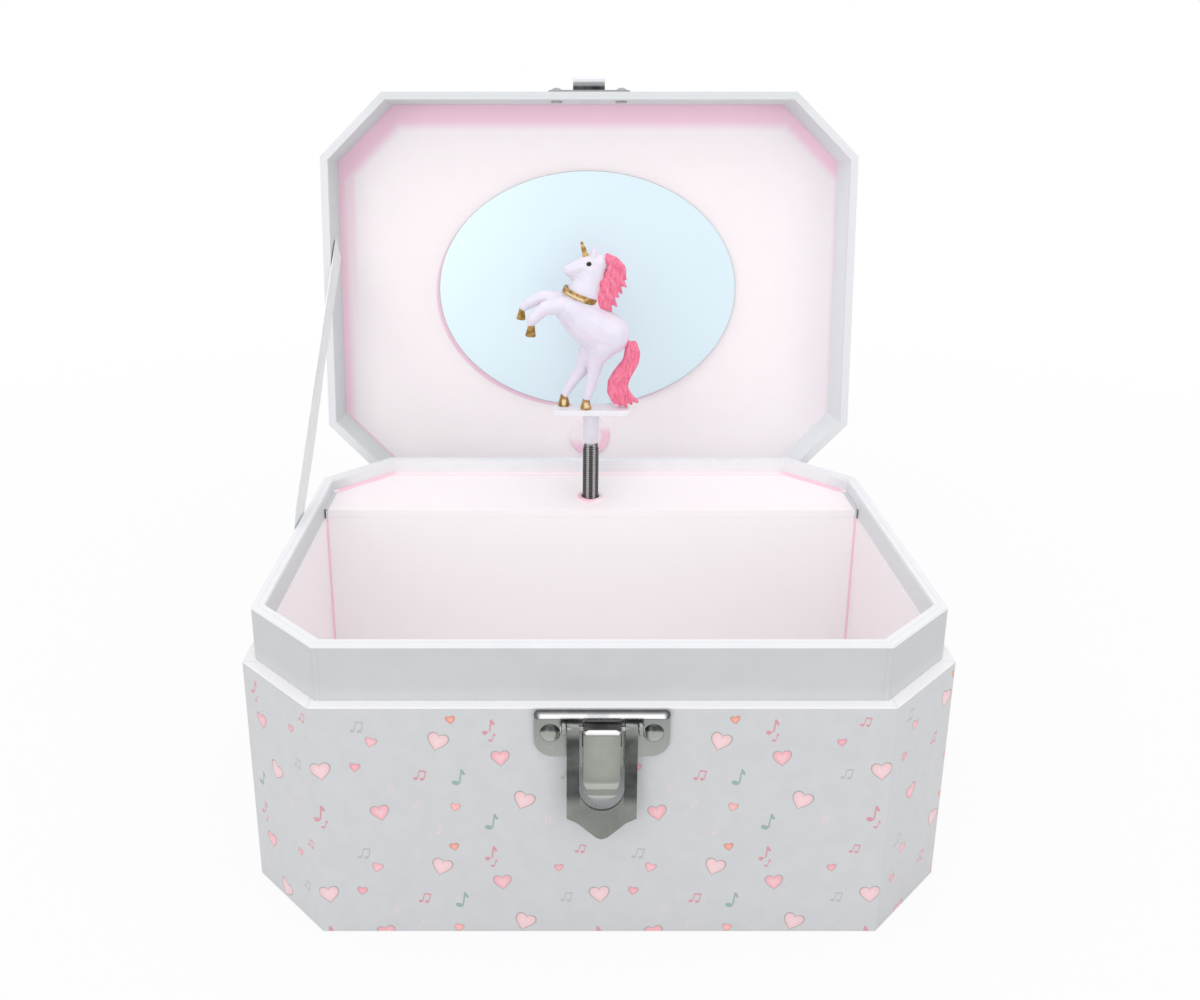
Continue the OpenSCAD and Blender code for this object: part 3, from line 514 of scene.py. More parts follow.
SHELF_TAPE = [(0.02, 0.02), (1.2, 0.02), (1.2, 0.12), (0.3, 0.14), (0.12, 0.3), (0.12, 0.75),
              (0.02, 0.75)]
CORNER_TAPE = [(0.02, 0.02), (0.02, 0.5), (0.12, 0.5), (0.14, 0.3), (0.3, 0.14), (0.55, 0.12),
               (0.55, 0.02)]
LINING_X, COLLAR_X, COLLAR_Y, COLLAR_SLANT = 83.5, 84.0, 60.5, 127.2
tape_shape = bmesh.new()
corner_x, corner_y = COLLAR_SLANT - COLLAR_Y, COLLAR_SLANT - COLLAR_X
round_the_back = [(COLLAR_X, BOARD_FRONT + 0.2, SHELF_TOP), (COLLAR_X, corner_y, SHELF_TOP),
                  (corner_x, COLLAR_Y, SHELF_TOP), (-corner_x, COLLAR_Y, SHELF_TOP),
                  (-COLLAR_X, corner_y, SHELF_TOP), (-COLLAR_X, BOARD_FRONT + 0.2, SHELF_TOP)]
strip(tape_shape, round_the_back, SHELF_TAPE)
for side in (-1, 1):
    joined(tape_shape, [
        [tape_shape.verts.new(Vector((side * (LINING_X - i), BOARD_FRONT - j, z)) * MM)
         for i, j in CORNER_TAPE] for z in (FLOOR_TOP, SHELF_TOP - 0.05)])
CREASE = math.radians(50)


def made(name, shape):
    """A scene object from a bmesh, shaded smooth except across its sharp edges."""
    shape.normal_update()
    for line in shape.edges:
        line.smooth = line.is_manifold and line.calc_face_angle(0) < CREASE
    data = bpy.data.meshes.new(name)
    shape.to_mesh(data)
    shape.free()
    data.polygons.foreach_set("use_smooth", [True] * len(data.polygons))
    piece = bpy.data.objects.new(name, data)
    scene.collection.objects.link(piece)
    return piece


def tape_shade_tones(place, mottle):
    x, y, z = in_mm(place)
    # Painted shade: deeper pink at the shelf's slanted corners and down the corner strips, and
    # grey along the shelf's sides.
    slanted = abs(x).ease(64, 68) * abs(x).ease(83.2, 82.0)
    shelf = slanted.mix(rgb(255, 241, 246), rgb(255, 216, 229))
    shelf = ((abs(x) > 82.4) * (y < 43)).mix(shelf, rgb(214, 216, 218))
    return (z < 71.1).mix(shelf, rgb(255, 212, 227))


tapes = made("corner_tapes", tape_shape)
cover(finish("pink_tape", papered(tape_shade_tones, 0.5)), tapes)
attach(tapes, "box")


# ---- Lid ----
# A tray of board, hinged at the back: printed paper outside, plain paper on the rim and the inner
# walls. The same print runs across the top board.
HINGE = (0, 0.0693, 0.0643)
LID_OPEN = math.radians(97.5)
LID_RIM, LID_CEILING, LID_TOP = 65.2, 84.6, 86.2


def shut(place):
    """Where a place on the open lid would be if the lid were shut, in mm."""
    turned = place.node("Mapping", {
        "Vector": place, "Location": HINGE, "Rotation": (-LID_OPEN, 0, 0)}, vector_type="TEXTURE")
    return in_mm(turned.node("VectorMath", {0: turned, 1: HINGE}, operation="ADD"))


def lid_paper(place):
    x, y, z = shut(place)
    depth = out_of_line(x, y)
    rim = z < LID_RIM
    plain = rim.larger((depth < 0.1) * (z < LID_CEILING))
    top = z > LID_TOP
    across = round_the_box(x, y) * (1 - top) + x * top
    up = z * (1 - top) + y * top
    colour = printed(place, across, up, plain)
    inner = plain * (1 - rim)
    shade = place.noise(0.006, 3).ease(0.25, 0.75) * 0.3
    # Painted shade: the inner walls are greyed, most towards the left and the wall over the latch.
    tone = x.ease(40, -70).larger(y.ease(-40, -58) * 0.7) + shade * 0.1
    grey = tone.mix(rgb(236, 240, 244), rgb(212, 219, 219))
    # The rim is painted a little greyer near its front edge.
    edge = abs(y + 66).ease(8, 0).mix(rgb(228, 229, 232), rgb(220, 223, 224))
    return {"Base Color": rim.mix(inner.mix(colour, grey), edge),
            "Roughness": paper_fibres(place) * 0.06 + 0.42,
            "Relief": (paper_fibres(place), 0.00004), "Specular IOR Level": 0.35}


cover(finish("lid_paper", lid_paper), "lid_walls", "lid_top")
soften(0.0006, "lid_walls", "lid_top", steps=3)


# ---- Lid lining ----
# A pale pink padded card in the lid. A soft deeper pink margin is painted on it as painted shadow
# of the lid's walls, widest along the edge over the latch. A thin deeper pink line runs on the
# stay's side, and a crescent of painted shadow lies at the lower edge of the mirror.
MIRROR_HALF = (53, 42)


def lining_tones(place, mottle):
    x, y, z = shut(place)
    pale = mottle.mix(rgb(255, 246, 249), rgb(255, 248, 250))
    deep = rgb(255, 215, 233)
    # Painted shadow of the lid's walls, in the paper's own deeper pink.
    shadow_margin = out_of_line(x - 1.6, y - 6.2).ease(-5.2, -0.6)
    edge = out_of_line(x, y) + 1.9
    line = edge.ease(-0.8, -0.5) * x.ease(-40, -60) * y.ease(-56, -50)
    # Painted shadow: a soft band along the stay's side.
    shadow_fade = edge.ease(-6.2, -4.8) * x.ease(-70, -80) * y.ease(24, -30) * 0.45
    low = ((x + 1.2) / MIRROR_HALF[0]) ** 2 + ((y - 1.2) / MIRROR_HALF[1]) ** 2
    # Painted shadow: a crescent round the lower edge of the mirror.
    ring = low.ease(1.008, 0.994) * 0.95
    return shadow_margin.larger(line * 0.9).larger(shadow_fade).larger(ring).mix(pale, deep)


cover(finish("lid_lining", papered(lining_tones, 0.5)), "lid_lining")


# ---- Mirror ----
# A thin oval mirror, stuck to the lining. It is silvered behind a cool glass, and its ground edge
# is grey.
def mirror_glass(place):
    x, y, z = shut(place)
    level = (x / MIRROR_HALF[0]) ** 2 + (y / MIRROR_HALF[1]) ** 2
    smear = place.noise(0.02, 3)
    return {"Base Color": level.ease(0.985, 0.995).mix(rgb(224, 242, 250), rgb(204, 212, 214)),
            "Metallic": 0.8, "Roughness": smear * 0.06 + 0.34}


cover(finish("mirror_glass", mirror_glass), "mirror")
soften(0.0003, "mirror")


# ---- Felt pad and grommet ----
# A round of thin pink felt on the lining presses the stop rod, and a felt-faced ring lines the
# spring's hole.
PAD_X, PAD_Z, PAD_MIDDLE = 1.2, 77.7, (3.4, 4.6)


def felt(place):
    fluff = place.noise(0.00035, 4)
    x, y, z = in_mm(place)
    tint = fluff.ease(0.2, 0.8).mix(rgb(254, 206, 222), rgb(255, 218, 232))
    out = ((x - PAD_X) ** 2 + (z - PAD_Z) ** 2).math("SQRT").ease(*PAD_MIDDLE)
    pad = y > 60
    bare = (1 - out).larger(x.ease(2.0, -1.0) * z.ease(73.4, 77.4)).larger(z.ease(78.2, 81.6))
    worn = pad * bare + (1 - pad) * x.ease(0.4, 2.2) * 0.75
    return {"Base Color": worn.mix(tint, rgb(255, 244, 248)),
            "Roughness": fluff * 0.1 + 0.85, "Relief": (fluff, 0.00015), "Specular IOR Level": 0.1}


cover(finish("pink_felt", felt), "lid_pad", "spring_grommet")
soften(0.0003, "lid_pad")


# ---- Ribbon stay ----
# A white satin ribbon, glued outside the collar and inside the lid's wall. The open lid pulls it
# straight; its two woven edges are a little thicker.
def along(points, count):
    """count points evenly spread along a line of points, with its corners eased."""
    points = np.array(points, float)
    run = np.r_[0, np.cumsum(np.linalg.norm(np.diff(points, axis=0), axis=1))]
    at = np.linspace(0, run[-1], count)
    line = np.stack([np.interp(at, run, column) for column in points.T], 1)
    for _ in range(count // 12):
        line[1:-1] = (line[:-2] + 2 * line[1:-1] + line[2:]) / 4
    return line, run[-1]


STAY = ((4, 66), (10, 79.6), (34, 99.5), (59, 121), (76, 134.5), (91, 146.5))
STAY_X, STAY_HALF_WIDTH = -87.5, 5
HALF_THICK, HALF_THICK_AT_EDGE, WOVEN_EDGE = 0.12, 0.17, 0.8
line, stay_length = along(STAY, 100)
heading = np.gradient(line, axis=0)
heading /= np.linalg.norm(heading, axis=1)[:, None]
shape = bmesh.new()
rows = []
for (y, z), (dy, dz), part in zip(line, heading, np.linspace(0, 1, len(line))):
    free = math.sin(math.pi * min(max((part - 0.12) / 0.72, 0), 1))
    faces = {-1: [], 1: []}
    for across in np.linspace(-1, 1, 13):
        wave = 0.35 * across * across - 0.25 + 0.12 * math.sin(9 * part + across)
        half = HALF_THICK_AT_EDGE if abs(across) > WOVEN_EDGE else HALF_THICK
        aside = across * STAY_HALF_WIDTH
        for face, row in faces.items():
            row.append(shape.verts.new(Vector((
                STAY_X + free * wave + face * half, y - dz * aside, z + dy * aside)) * MM))
    rows.append(faces[1] + faces[-1][::-1])
joined(shape, rows)
ribbon = made("ribbon", shape)


def satin(place):
    x, y, z = in_mm(place)
    run, over = y * 0.76 + z * 0.65, z * 0.76 - y * 0.65
    warp = (over * 26).math("SINE") * 0.5 + 0.5
    weft = (run * 9).math("SINE") * 0.5 + 0.5
    grain = place.noise(0.0008, 3)
    return {"Base Color": (warp * 0.5 + grain * 0.5).mix(rgb(232, 236, 236), rgb(247, 249, 249)),
            "Roughness": grain * 0.15 + 0.32, "Sheen Weight": 0.4,
            "Relief": (warp * 0.6 + weft * 0.4, 0.00005)}


cover(finish("white_ribbon", satin), ribbon)
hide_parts("ribbon_stay")
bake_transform(ribbon)


# ---- Latch ----
# Pressed sheet steel, nickel plated. The plate is rolled over at the top and held by two domed
# rivets; the shield-shaped lever and the hook in its slot turn on one pin.
def plated(tones, rough=0.22, metal=0.8):
    """Plated steel with fine drawing lines. tones gives its colour, from the place in mm."""
    def recipe(place):
        cloud = place.noise(0.005, 3).ease(0.3, 0.7)
        drawn = place.node("Mapping", {"Vector": place, "Scale": (6, 1, 1)}).noise(0.0009, 2)
        colour = tones(place)
        return {"Base Color": (cloud * 0.12).mix(colour, rgb(196, 198, 194)),
                "Metallic": metal(place) if callable(metal) else metal,
                "Roughness": drawn * 0.1 + rough, "Relief": (drawn, 0.000012)}
    return recipe


SLOT_HALF, ROLL_START, ROLL_MIDDLE = 5.9, 61.75, 62.75
RIVET_OUT, RIVET_UP = 12.2, 57.7
# The heights of the hook's painted highlight and of its painted black shadow.
HOOK_BEND, HOOK_DARK = 59.5, 60.3


def seat_mask(x, z):
    """1 where the plate shows below the hook, in the lever's slot."""
    return (abs(x) < SLOT_HALF) * z.ease(49.5, 47.5)


def plate_tones(place):
    x, y, z = in_mm(place)
    face = z.ease(50, 61).mix(rgb(164, 166, 162), rgb(148, 150, 148))
    seat = seat_mask(x, z)
    # Painted light: the plate seen in the slot is a pale grey, palest at the bottom.
    face = seat.mix(face, z.ease(36, 47).mix(rgb(226, 227, 230), rgb(178, 181, 182)))
    # Painted highlight: a white band along the roll's front, with a grey patch in it, and painted
    # shade above and below it and at its rounded ends.
    rolled = z > ROLL_START
    end = abs(x).ease(15.3, 14.2)
    turn = z - ROLL_MIDDLE
    roll_highlight = turn.ease(-0.75, -0.1) * turn.ease(1.15, 0.5) * end
    patch = abs(x + 1).ease(3.4, 1.6) * 0.45
    roll = roll_highlight.mix(rgb(86, 88, 94), patch.mix(rgb(255, 255, 255), rgb(190, 192, 198)))
    return rolled.mix(face, roll)


def plate_metal(place):
    x, y, z = in_mm(place)
    # Less metallic in the slot, under its painted light.
    return 0.8 - seat_mask(x, z) * 0.7


def rivet_tones(place):
    x, y, z = in_mm(place)
    # Painted shade and light: a dark crescent of shadow on each rivet head's top, and the head
    # paler lower down.
    out = abs(x) - RIVET_OUT
    up = z - RIVET_UP + out * out * 0.12
    dark = up.ease(0.8, 1.5) * z.ease(60.2, 59.8)
    shaded_dome = z.ease(55.2, 58.5).mix(rgb(182, 184, 178), rgb(160, 163, 156))
    return dark.mix(shaded_dome, rgb(44, 45, 46))


def lever_tones(place):
    x, y, z = in_mm(place)
    # Painted reflection: the lever's sides above the shield are dark.
    rail = abs(x).ease(4.9, 5.4) * z.ease(40, 43.5)
    top = z.ease(57.5, 60)
    shield = abs(x).ease(0, 9).mix(rgb(120, 123, 118), rgb(130, 132, 128))
    tint = rail.mix(shield, z.ease(44, 54).mix(rgb(44, 46, 49), rgb(66, 68, 66)))
    tint = top.mix(tint, rgb(128, 131, 128))
    # Painted shadow: black in the slot, under the roll.
    return ((abs(x) < 4.9) * (z > 58.8)).mix(tint, rgb(10, 10, 11))


def hook_tones(place):
    x, y, z = in_mm(place)
    # Painted light and shade: the lower lip is painted paler; a white highlight runs across the
    # bend, with a painted shade line under it; above HOOK_DARK the hook is painted black, as
    # shadow.
    face = abs(x).ease(1, 5).mix(rgb(154, 158, 149), rgb(146, 150, 141))
    face = (z.ease(45.7, 45.2) * 0.8).mix(face, rgb(182, 184, 179))
    side = (abs(x) - 3.0).larger(0)
    spread = (z - HOOK_BEND) ** 2 + side ** 2
    line = (z < HOOK_BEND) * spread.ease(2.6, 1.6) * 0.7
    face = line.mix((z > HOOK_DARK).mix(face, rgb(12, 12, 13)), rgb(80, 82, 80))
    return spread.ease(1.25, 0.75).mix(face, rgb(255, 255, 255))


def nickel_tones(place):
    return place.noise(0.004, 3).ease(0.3, 0.7).mix(rgb(158, 160, 158), rgb(178, 180, 178))


nickel = finish("nickel_plate", plated(nickel_tones))
cover(finish("latch_plate_steel", plated(plate_tones, metal=plate_metal)), "latch_plate")
cover(finish("rivet_steel", plated(rivet_tones)), "latch_rivets")
cover(finish("lever_steel", plated(lever_tones)), "latch_lever")
cover(finish("hook_steel", plated(hook_tones, 0.3, 0.4)), "latch_hook")
cover(nickel, "latch_pin")
soften(0.00022, "latch_plate", "latch_lever", "latch_hook", "latch_pin")
soften(0.0001, "latch_rivets")


# ---- Strike ----
# The latch's other half on the lid's edge: a thin plate with two rivets, whose nose is folded up
# for the hook. It is left bare.
NOSE_START = -68.1


def strike_tones(place):
    x, y, z = shut(place)
    nose = y < NOSE_START
    # Painted shadow: dark where the nose stands off the plate. Painted highlight: the nose paler
    # towards its front end.
    gap_shadow = y.ease(-70.2, -69.4) * nose
    bright = y.ease(-70.6, -71.6).mix(rgb(150, 152, 156), rgb(232, 233, 238))
    return gap_shadow.mix(nose.mix(rgb(150, 152, 154), bright), rgb(40, 42, 46))


cover(finish("strike_steel", plated(strike_tones, 0.3)), "strike_plate")
cover(nickel, "strike_rivets")
soften(0.0002, "strike_plate", "strike_rivets")


# ---- Hinges ----
# Two small butt hinges of the same plated steel join the lid to the back wall. Their leaves are
# riveted through the board.
cover(nickel, "hinge_leaves_box", "hinge_leaves_lid", "hinge_pins", "hinge_rivets_box",
      "hinge_rivets_lid")
soften(0.00015, "hinge_leaves_box", "hinge_leaves_lid", "hinge_pins")


# ---- Music movement ----
# A die-cast bedplate carries a steel comb, a pinned brass cylinder, its wheels and the white fan.
# Three screws hold it to the back wall, and the key winds it there.
def turned_metal(dark, pale, grain, rough):
    """Machined metal with tool lines across Z."""
    def recipe(place):
        lines = place.node("Mapping", {"Vector": place, "Scale": (1, 1, 9)}).noise(grain, 2)
        cloud = place.noise(0.003, 3).ease(0.3, 0.7)
        return {"Base Color": (cloud * 0.6 + lines * 0.4).mix(rgb(*dark), rgb(*pale)),
                "Metallic": 1.0, "Roughness": lines * 0.14 + rough, "Relief": (lines, 0.00001)}
    return recipe


brass = finish("brass", turned_metal((170, 134, 70), (208, 172, 102), 0.0009, 0.24))
ground_steel = finish("ground_steel", turned_metal((168, 170, 174), (196, 198, 202), 0.0007, 0.2))
zinc = finish("cast_zinc", turned_metal((150, 152, 154), (172, 174, 176), 0.0016, 0.42))
cover(zinc, "bedplate")
cover(brass, "music_cylinder", "drive_pinion", "cylinder_wheel", "crown_wheel", "spring_housing")
cover(ground_steel, "comb", "cylinder_arbor", "governor_arbor", "key_arbor", "stop_rod")
cover(finish("blued_steel", turned_metal((70, 74, 86), (96, 100, 112), 0.0008, 0.3)), "mainspring")
cover(nickel, "movement_screws", "comb_screws", "winding_key")
soften(0.0003, "winding_key", "bedplate")


# ---- Coil spring ----
# Close turns of dark drawn wire, pushed over a peg on the cylinder's arbor and over the stem's
# plug. The top turns are drawn in where they grip the plug.
low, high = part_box("coil_spring")
WIRE, BETWEEN_TURNS = 0.35, 0.02
SPRING_RADIUS, DRAWN_IN, GRIP_START = 2.6, 0.3, 90.6
MIDDLE = 39
STEPS, SIDES = 24, 8
turns = round((high[2] - low[2]) / (2 * WIRE + BETWEEN_TURNS) * PER_METRE - 1)
angle = np.linspace(0, 2 * math.pi * turns, turns * STEPS + 1)
height = np.linspace(low[2] * PER_METRE + WIRE, high[2] * PER_METRE - WIRE, len(angle))
radius = SPRING_RADIUS - WIRE - DRAWN_IN * np.clip((height - GRIP_START) / 0.8, 0, 1)
around = np.arange(SIDES) * 2 * math.pi / SIDES
reach = radius[:, None] + WIRE * np.cos(around)
coil = np.stack([reach * np.cos(angle)[:, None], reach * np.sin(angle)[:, None] + MIDDLE,
                 height[:, None] + WIRE * np.sin(around)], 2)
shape = bmesh.new()
joined(shape, [[shape.verts.new(Vector(point) * MM) for point in ring] for ring in coil])
spring = made("spring_wire", shape)


def drawn_wire(place):
    grain = place.noise(0.0006, 2)
    x, y, z = in_mm(place)
    # Painted highlights: two light stripes down the front and back of the coil.
    highlight_stripes = abs(abs(x) - 1.03).ease(0.62, 0.2)
    dark = grain.mix(rgb(74, 74, 75), rgb(98, 98, 98))
    return {"Base Color": highlight_stripes.mix(dark, rgb(186, 185, 185)), "Metallic": 0.7,
            "Roughness": grain * 0.12 + 0.26}


cover(finish("spring_wire", drawn_wire), spring)
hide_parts("coil_spring")
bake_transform(spring)


# ---- Stem and turning plate ----
# White moulded plastic with a soft gloss. The stem plugs into the spring; the plate on it is
# oblong, with rounded corners.
def moulded(dark, pale):
    def recipe(place):
        flow = place.noise(0.004, 2).ease(0.2, 0.8)
        skin = place.noise(0.0007, 3)
        return {"Base Color": flow.mix(rgb(*dark), rgb(*pale)), "Roughness": skin * 0.12 + 0.34,
                "Relief": (skin, 0.00002), "Coat Weight": flow * 0.1}
    return recipe


cover(finish("white_plastic", moulded((224, 222, 232), (230, 228, 237))), "stem", "governor_fan")
cover(finish("plate_plastic", moulded((241, 240, 246), (247, 246, 251))), "turning_disc")
soften(0.0003, "stem", "turning_disc")


# ---- Unicorn ----
# A rearing unicorn moulded in pale lilac plastic. Its rounded limbs run into the body without
# seams, and it stands on two hind hooves.
GOLDEN_ANGLE, BALL_STEPS = 2.39996, 30
BALL = []
for i in range(2 * BALL_STEPS + 1):
    level = 1 - i / BALL_STEPS
    reach = math.sqrt(1 - level ** 2)
    BALL.append((math.cos(i * GOLDEN_ANGLE) * reach, math.sin(i * GOLDEN_ANGLE) * reach, level))


def limbs(shape, *chains):
    """Rounded limbs through (x, y, z, radius) points in mm, y from the middle of the figure."""
    for chain in chains:
        for ends in zip(chain, chain[1:]):
            points = [shape.verts.new(Vector((x + r * a, MIDDLE + y + r * b, z + r * c)) * MM)
                      for x, y, z, r in ends for a, b, c in BALL]
            hull = bmesh.ops.convex_hull(shape, input=points)
            spare = {v for v in hull["geom_interior"] + hull["geom_unused"]
                     if isinstance(v, bmesh.types.BMVert)}
            bmesh.ops.delete(shape, geom=list(spare), context="VERTS")


def fused(piece, voxel, smooth):
    """Joins a piece's overlapping parts into one skin and smooths it."""
    skin = piece.modifiers.new("skin", "REMESH")
    skin.mode, skin.voxel_size, skin.use_smooth_shade = "VOXEL", voxel * MM, True
    ease = piece.modifiers.new("ease", "SMOOTH")
    ease.factor, ease.iterations = 0.5, smooth


def dress(piece, material, slot, *stands_for):
    """Gives a piece of the figure its material, and lets it turn. Its slot is not used."""
    cover(material, piece)
    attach(piece, "figure")
    if stands_for:
        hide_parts(*stands_for)


shape = bmesh.new()
limbs(shape,
      ((-7.05, 0, 148.2, 1.9), (-4.6, 0, 148.9, 2.4), (-1.7, 0, 149.6, 3.2), (0.4, 0, 149.9, 3.4),
       (1.9, 0, 150.2, 3.2)),
      ((-6.2, 0, 147.1, 1.55), (-3.3, 0, 146.4, 2.1), (-0.2, 0, 146.8, 3.1)),
      ((0.4, 0, 147.9, 3.9), (-2.0, 0, 142.5, 4.9), (-4.4, 0, 137.2, 5.8)),
      ((1.0, 0, 144.5, 2.4), (0.0, 0, 140.5, 3.1), (-0.6, 0, 136.4, 4.1)),
      ((-5.6, 0, 136.3, 6.0), (-2.3, 0, 132.9, 6.7), (1.3, 0, 129.9, 7.2), (4.9, 0, 128.2, 6.9)),
      ((-9.0, 2, 138.3, 3.0), (-15.2, 2.3, 139.6, 2.05), (-19.2, 2.3, 137.6, 1.8),
       (-21.1, 2.3, 136.2, 1.35)),
      ((-9.2, -2, 137.8, 3.1), (-14.3, -2.3, 137.0, 2.15), (-18.0, -2.3, 133.6, 1.85),
       (-18.8, -2.3, 132.3, 1.35)),
      ((1.0, 2, 125.2, 4.6), (-2.0, 2.3, 119.6, 2.75), (-2.9, 2.3, 116.2, 2.1),
       (-5.7, 2.3, 112.5, 1.7), (-7.7, 2.3, 109.1, 1.35), (-8.4, 2.3, 107.6, 1.2)),
      ((3.6, -1.8, 125.8, 4.9), (1.2, -1.7, 120.6, 2.8), (0.9, -1.5, 117.5, 2.3),
       (0.1, -1.4, 113.9, 1.85), (-0.9, -1.4, 109.9, 1.5), (-1.5, -1.4, 108.0, 1.25)),
      ((0.3, -1.6, 152.4, 1.2), (0.4, -1.8, 153.9, 0.85), (0.6, -1.9, 155.0, 0.45)),
      ((0.3, 1.6, 152.4, 1.2), (0.4, 1.8, 153.9, 0.85), (0.6, 1.9, 155.0, 0.45)),
      ((0, -1.2, 148.2, 2.9), (-0.4, -1.4, 147.4, 2.6)))
body = made("unicorn_body", shape)
fused(body, 0.3, 5)


def lilac(place):
    x, y, z = in_mm(place)
    flow = place.noise(0.004, 2).ease(0.2, 0.8)
    skin = place.noise(0.0005, 3)
    blush = place.noise(0.009, 1).ease(0.45, 0.7) * 0.5
    colour = blush.mix(flow.mix(rgb(230, 225, 240), rgb(236, 231, 245)), rgb(240, 226, 238))
    # Painted shade: a darker line where the lips part, and a dark spot for the nose hole.
    mouth_shade = abs(z - 146.75 - (x + 6) * -0.16).ease(0.3, 0.05) * x.ease(-3.6, -4.6) * 0.4
    nostril_shade = ((x + 8.1) ** 2 + (z - 148.6) ** 2).ease(0.14, 0.02) * 0.4
    mouth_shade = mouth_shade.larger(nostril_shade)
    return {"Base Color": mouth_shade.mix(colour, rgb(196, 180, 190)), "Roughness": skin * 0.14 + 0.36,
            "Relief": (skin, 0.00002), "Subsurface Weight": 0.04}


dress(body, finish("lilac_plastic", lilac), "figure_plastic", "unicorn")


# ---- Horn, neck band and hooves ----
# Painted gold, a little worn: a twisted horn, a flat band round the neck and four bell-shaped
# hooves. A painted highlight runs along the band's middle and across the two standing hooves.
def lathe(shape, rings, sides=14, twist=0.0):
    """Closed rings of points joined in a chain; each is (centre, along u, along v) in mm."""
    made_rings = []
    for step, (centre, u, v) in enumerate(rings):
        ring = []
        for i in range(sides):
            a = 2 * math.pi * i / sides
            swell = 1 + twist * math.cos(2 * a - step * 0.9)
            ring.append(shape.verts.new((Vector(centre) + Vector(u) * math.cos(a) * swell
                                         + Vector(v) * math.sin(a) * swell) * MM))
        made_rings.append(ring)
    joined(shape, made_rings)


def tapered(top, bottom, profile):
    """Rings between two (x, y, z) ends in mm, with (share of the way, radius) steps."""
    top, bottom = Vector(top), Vector(bottom)
    way = (bottom - top).normalized()
    u = way.cross(Vector((0, 1, 0))).normalized()
    v = Vector((0, 1, 0))
    return [(top.lerp(bottom, share) + Vector((0, MIDDLE, 0)), u * r, v * r)
            for share, r in profile]


HOOF = ((0, 0.95), (0.06, 1.12), (0.25, 1.25), (0.6, 1.6), (0.88, 1.92), (0.96, 1.92), (1, 1.8))
golden = bmesh.new()
for top, bottom, size in (((-8.5, 2.3, 108.2), (-8.6, 2.3, 104.4), 1.0),
                          ((-1.6, -1.4, 108.4), (-1.7, -1.4, 104.4), 0.88),
                          ((-21.5, 2.3, 136.2), (-22.0, 2.3, 132.4), 0.75),
                          ((-18.5, -2.3, 132.4), (-18.9, -2.3, 128.1), 0.84)):
    lathe(golden, tapered(top, bottom, [(share, r * size) for share, r in HOOF]))
hooves = made("hooves", golden)

horn_shape = bmesh.new()
HORN_TIP, HORN_END, HORN_SPREAD, HORN_STEPS = 0.2, 0.4, 0.62, 16
horn_profile = [(0, HORN_TIP)] + [(i / HORN_STEPS, HORN_END + HORN_SPREAD * i / HORN_STEPS)
                                  for i in range(1, HORN_STEPS + 1)]
lathe(horn_shape, tapered((-3.35, 0, 156.9), (-1.9, 0, 152.2), horn_profile), sides=16, twist=0.09)
horn = made("horn", horn_shape)

band_shape = bmesh.new()
tilt = Vector((0.927, 0, -0.375))
rise = Vector((0.375, 0, 0.927))
BAND_MIDDLE, BAND_RADIUS, BAND_STEPS = Vector((-3.5, MIDDLE, 140.5)), 5.4, 48
BAND = [(0, -1.0), (0.34, -0.9), (0.5, -0.45), (0.5, 0.45), (0.34, 0.9), (0, 1.0), (-0.6, 0.8),
        (-0.6, -0.8)]
loops = []
for i in range(BAND_STEPS):
    a = 2 * math.pi * i / BAND_STEPS
    out = tilt * math.cos(a) + Vector((0, 1, 0)) * math.sin(a)
    loops.append([band_shape.verts.new((BAND_MIDDLE + out * (BAND_RADIUS + r) + rise * h) * MM)
                  for r, h in BAND])
for i in range(BAND_STEPS):
    for j in range(len(BAND)):
        band_shape.faces.new((loops[i - 1][j - 1], loops[i - 1][j], loops[i][j], loops[i][j - 1]))
bmesh.ops.recalc_face_normals(band_shape, faces=band_shape.faces[:])
band = made("neck_band", band_shape)


def gold_paint(place):
    wear = place.noise(0.0014, 3)
    fine = place.noise(0.0004, 2)
    colour = place.node("ValToRGB", {0: wear}, stops=[
        (0.3, rgb(122, 92, 42)), (0.48, rgb(170, 131, 68)), (0.6, rgb(200, 161, 98)),
        (0.72, rgb(238, 206, 156))])
    x, y, z = in_mm(place)
    # Painted highlights: a pale streak along the band's middle, and across the two standing
    # hooves.
    rise = (x + 4.1) * 0.375 + (z - 140.5) * 0.927
    band_highlight = abs(rise).ease(0.6, 0.15) * abs(x + 5.2).ease(3.4, 2.0)
    hoof_highlight = abs(z - 105.9).ease(1.3, 0.4) * abs(abs(x + 5.1) - 3.5).ease(0.9, 0.3)
    colour = (band_highlight.larger(hoof_highlight) * 0.75).mix(colour, rgb(250, 230, 190))
    return {"Base Color": colour, "Metallic": 0.55, "Roughness": fine * 0.2 + 0.3,
            "Relief": (wear, 0.00008)}


gold = finish("gold_paint", gold_paint)
for piece in (hooves, horn, band):
    dress(piece, gold, "figure_plastic")


# ---- Eyes ----
# Small black painted beads, one on each side of the head. They are set a little into it, and are
# flatter than they are wide.
EYE_X, EYE_OUT, EYE_Z, EYE_RADIUS = -1.1, 3.0, 150.6, 0.0008
EYE_SHAPE = Matrix.Diagonal((1, 0.55, 0.9, 1))
eye_shape = bmesh.new()
for side in (-1, 1):
    spot = Matrix.Translation(Vector((EYE_X, MIDDLE + side * EYE_OUT, EYE_Z)) * MM)
    bmesh.ops.create_uvsphere(eye_shape, u_segments=20, v_segments=12, radius=EYE_RADIUS,
                              matrix=spot @ EYE_SHAPE)
beads = made("eyes", eye_shape)


def black_paint(place):
    grain = place.noise(0.0006, 2)
    return {"Base Color": grain.mix(rgb(16, 16, 18), rgb(30, 28, 30)),
            "Roughness": grain * 0.1 + 0.15}


dress(beads, finish("black_paint", black_paint), "figure_plastic")


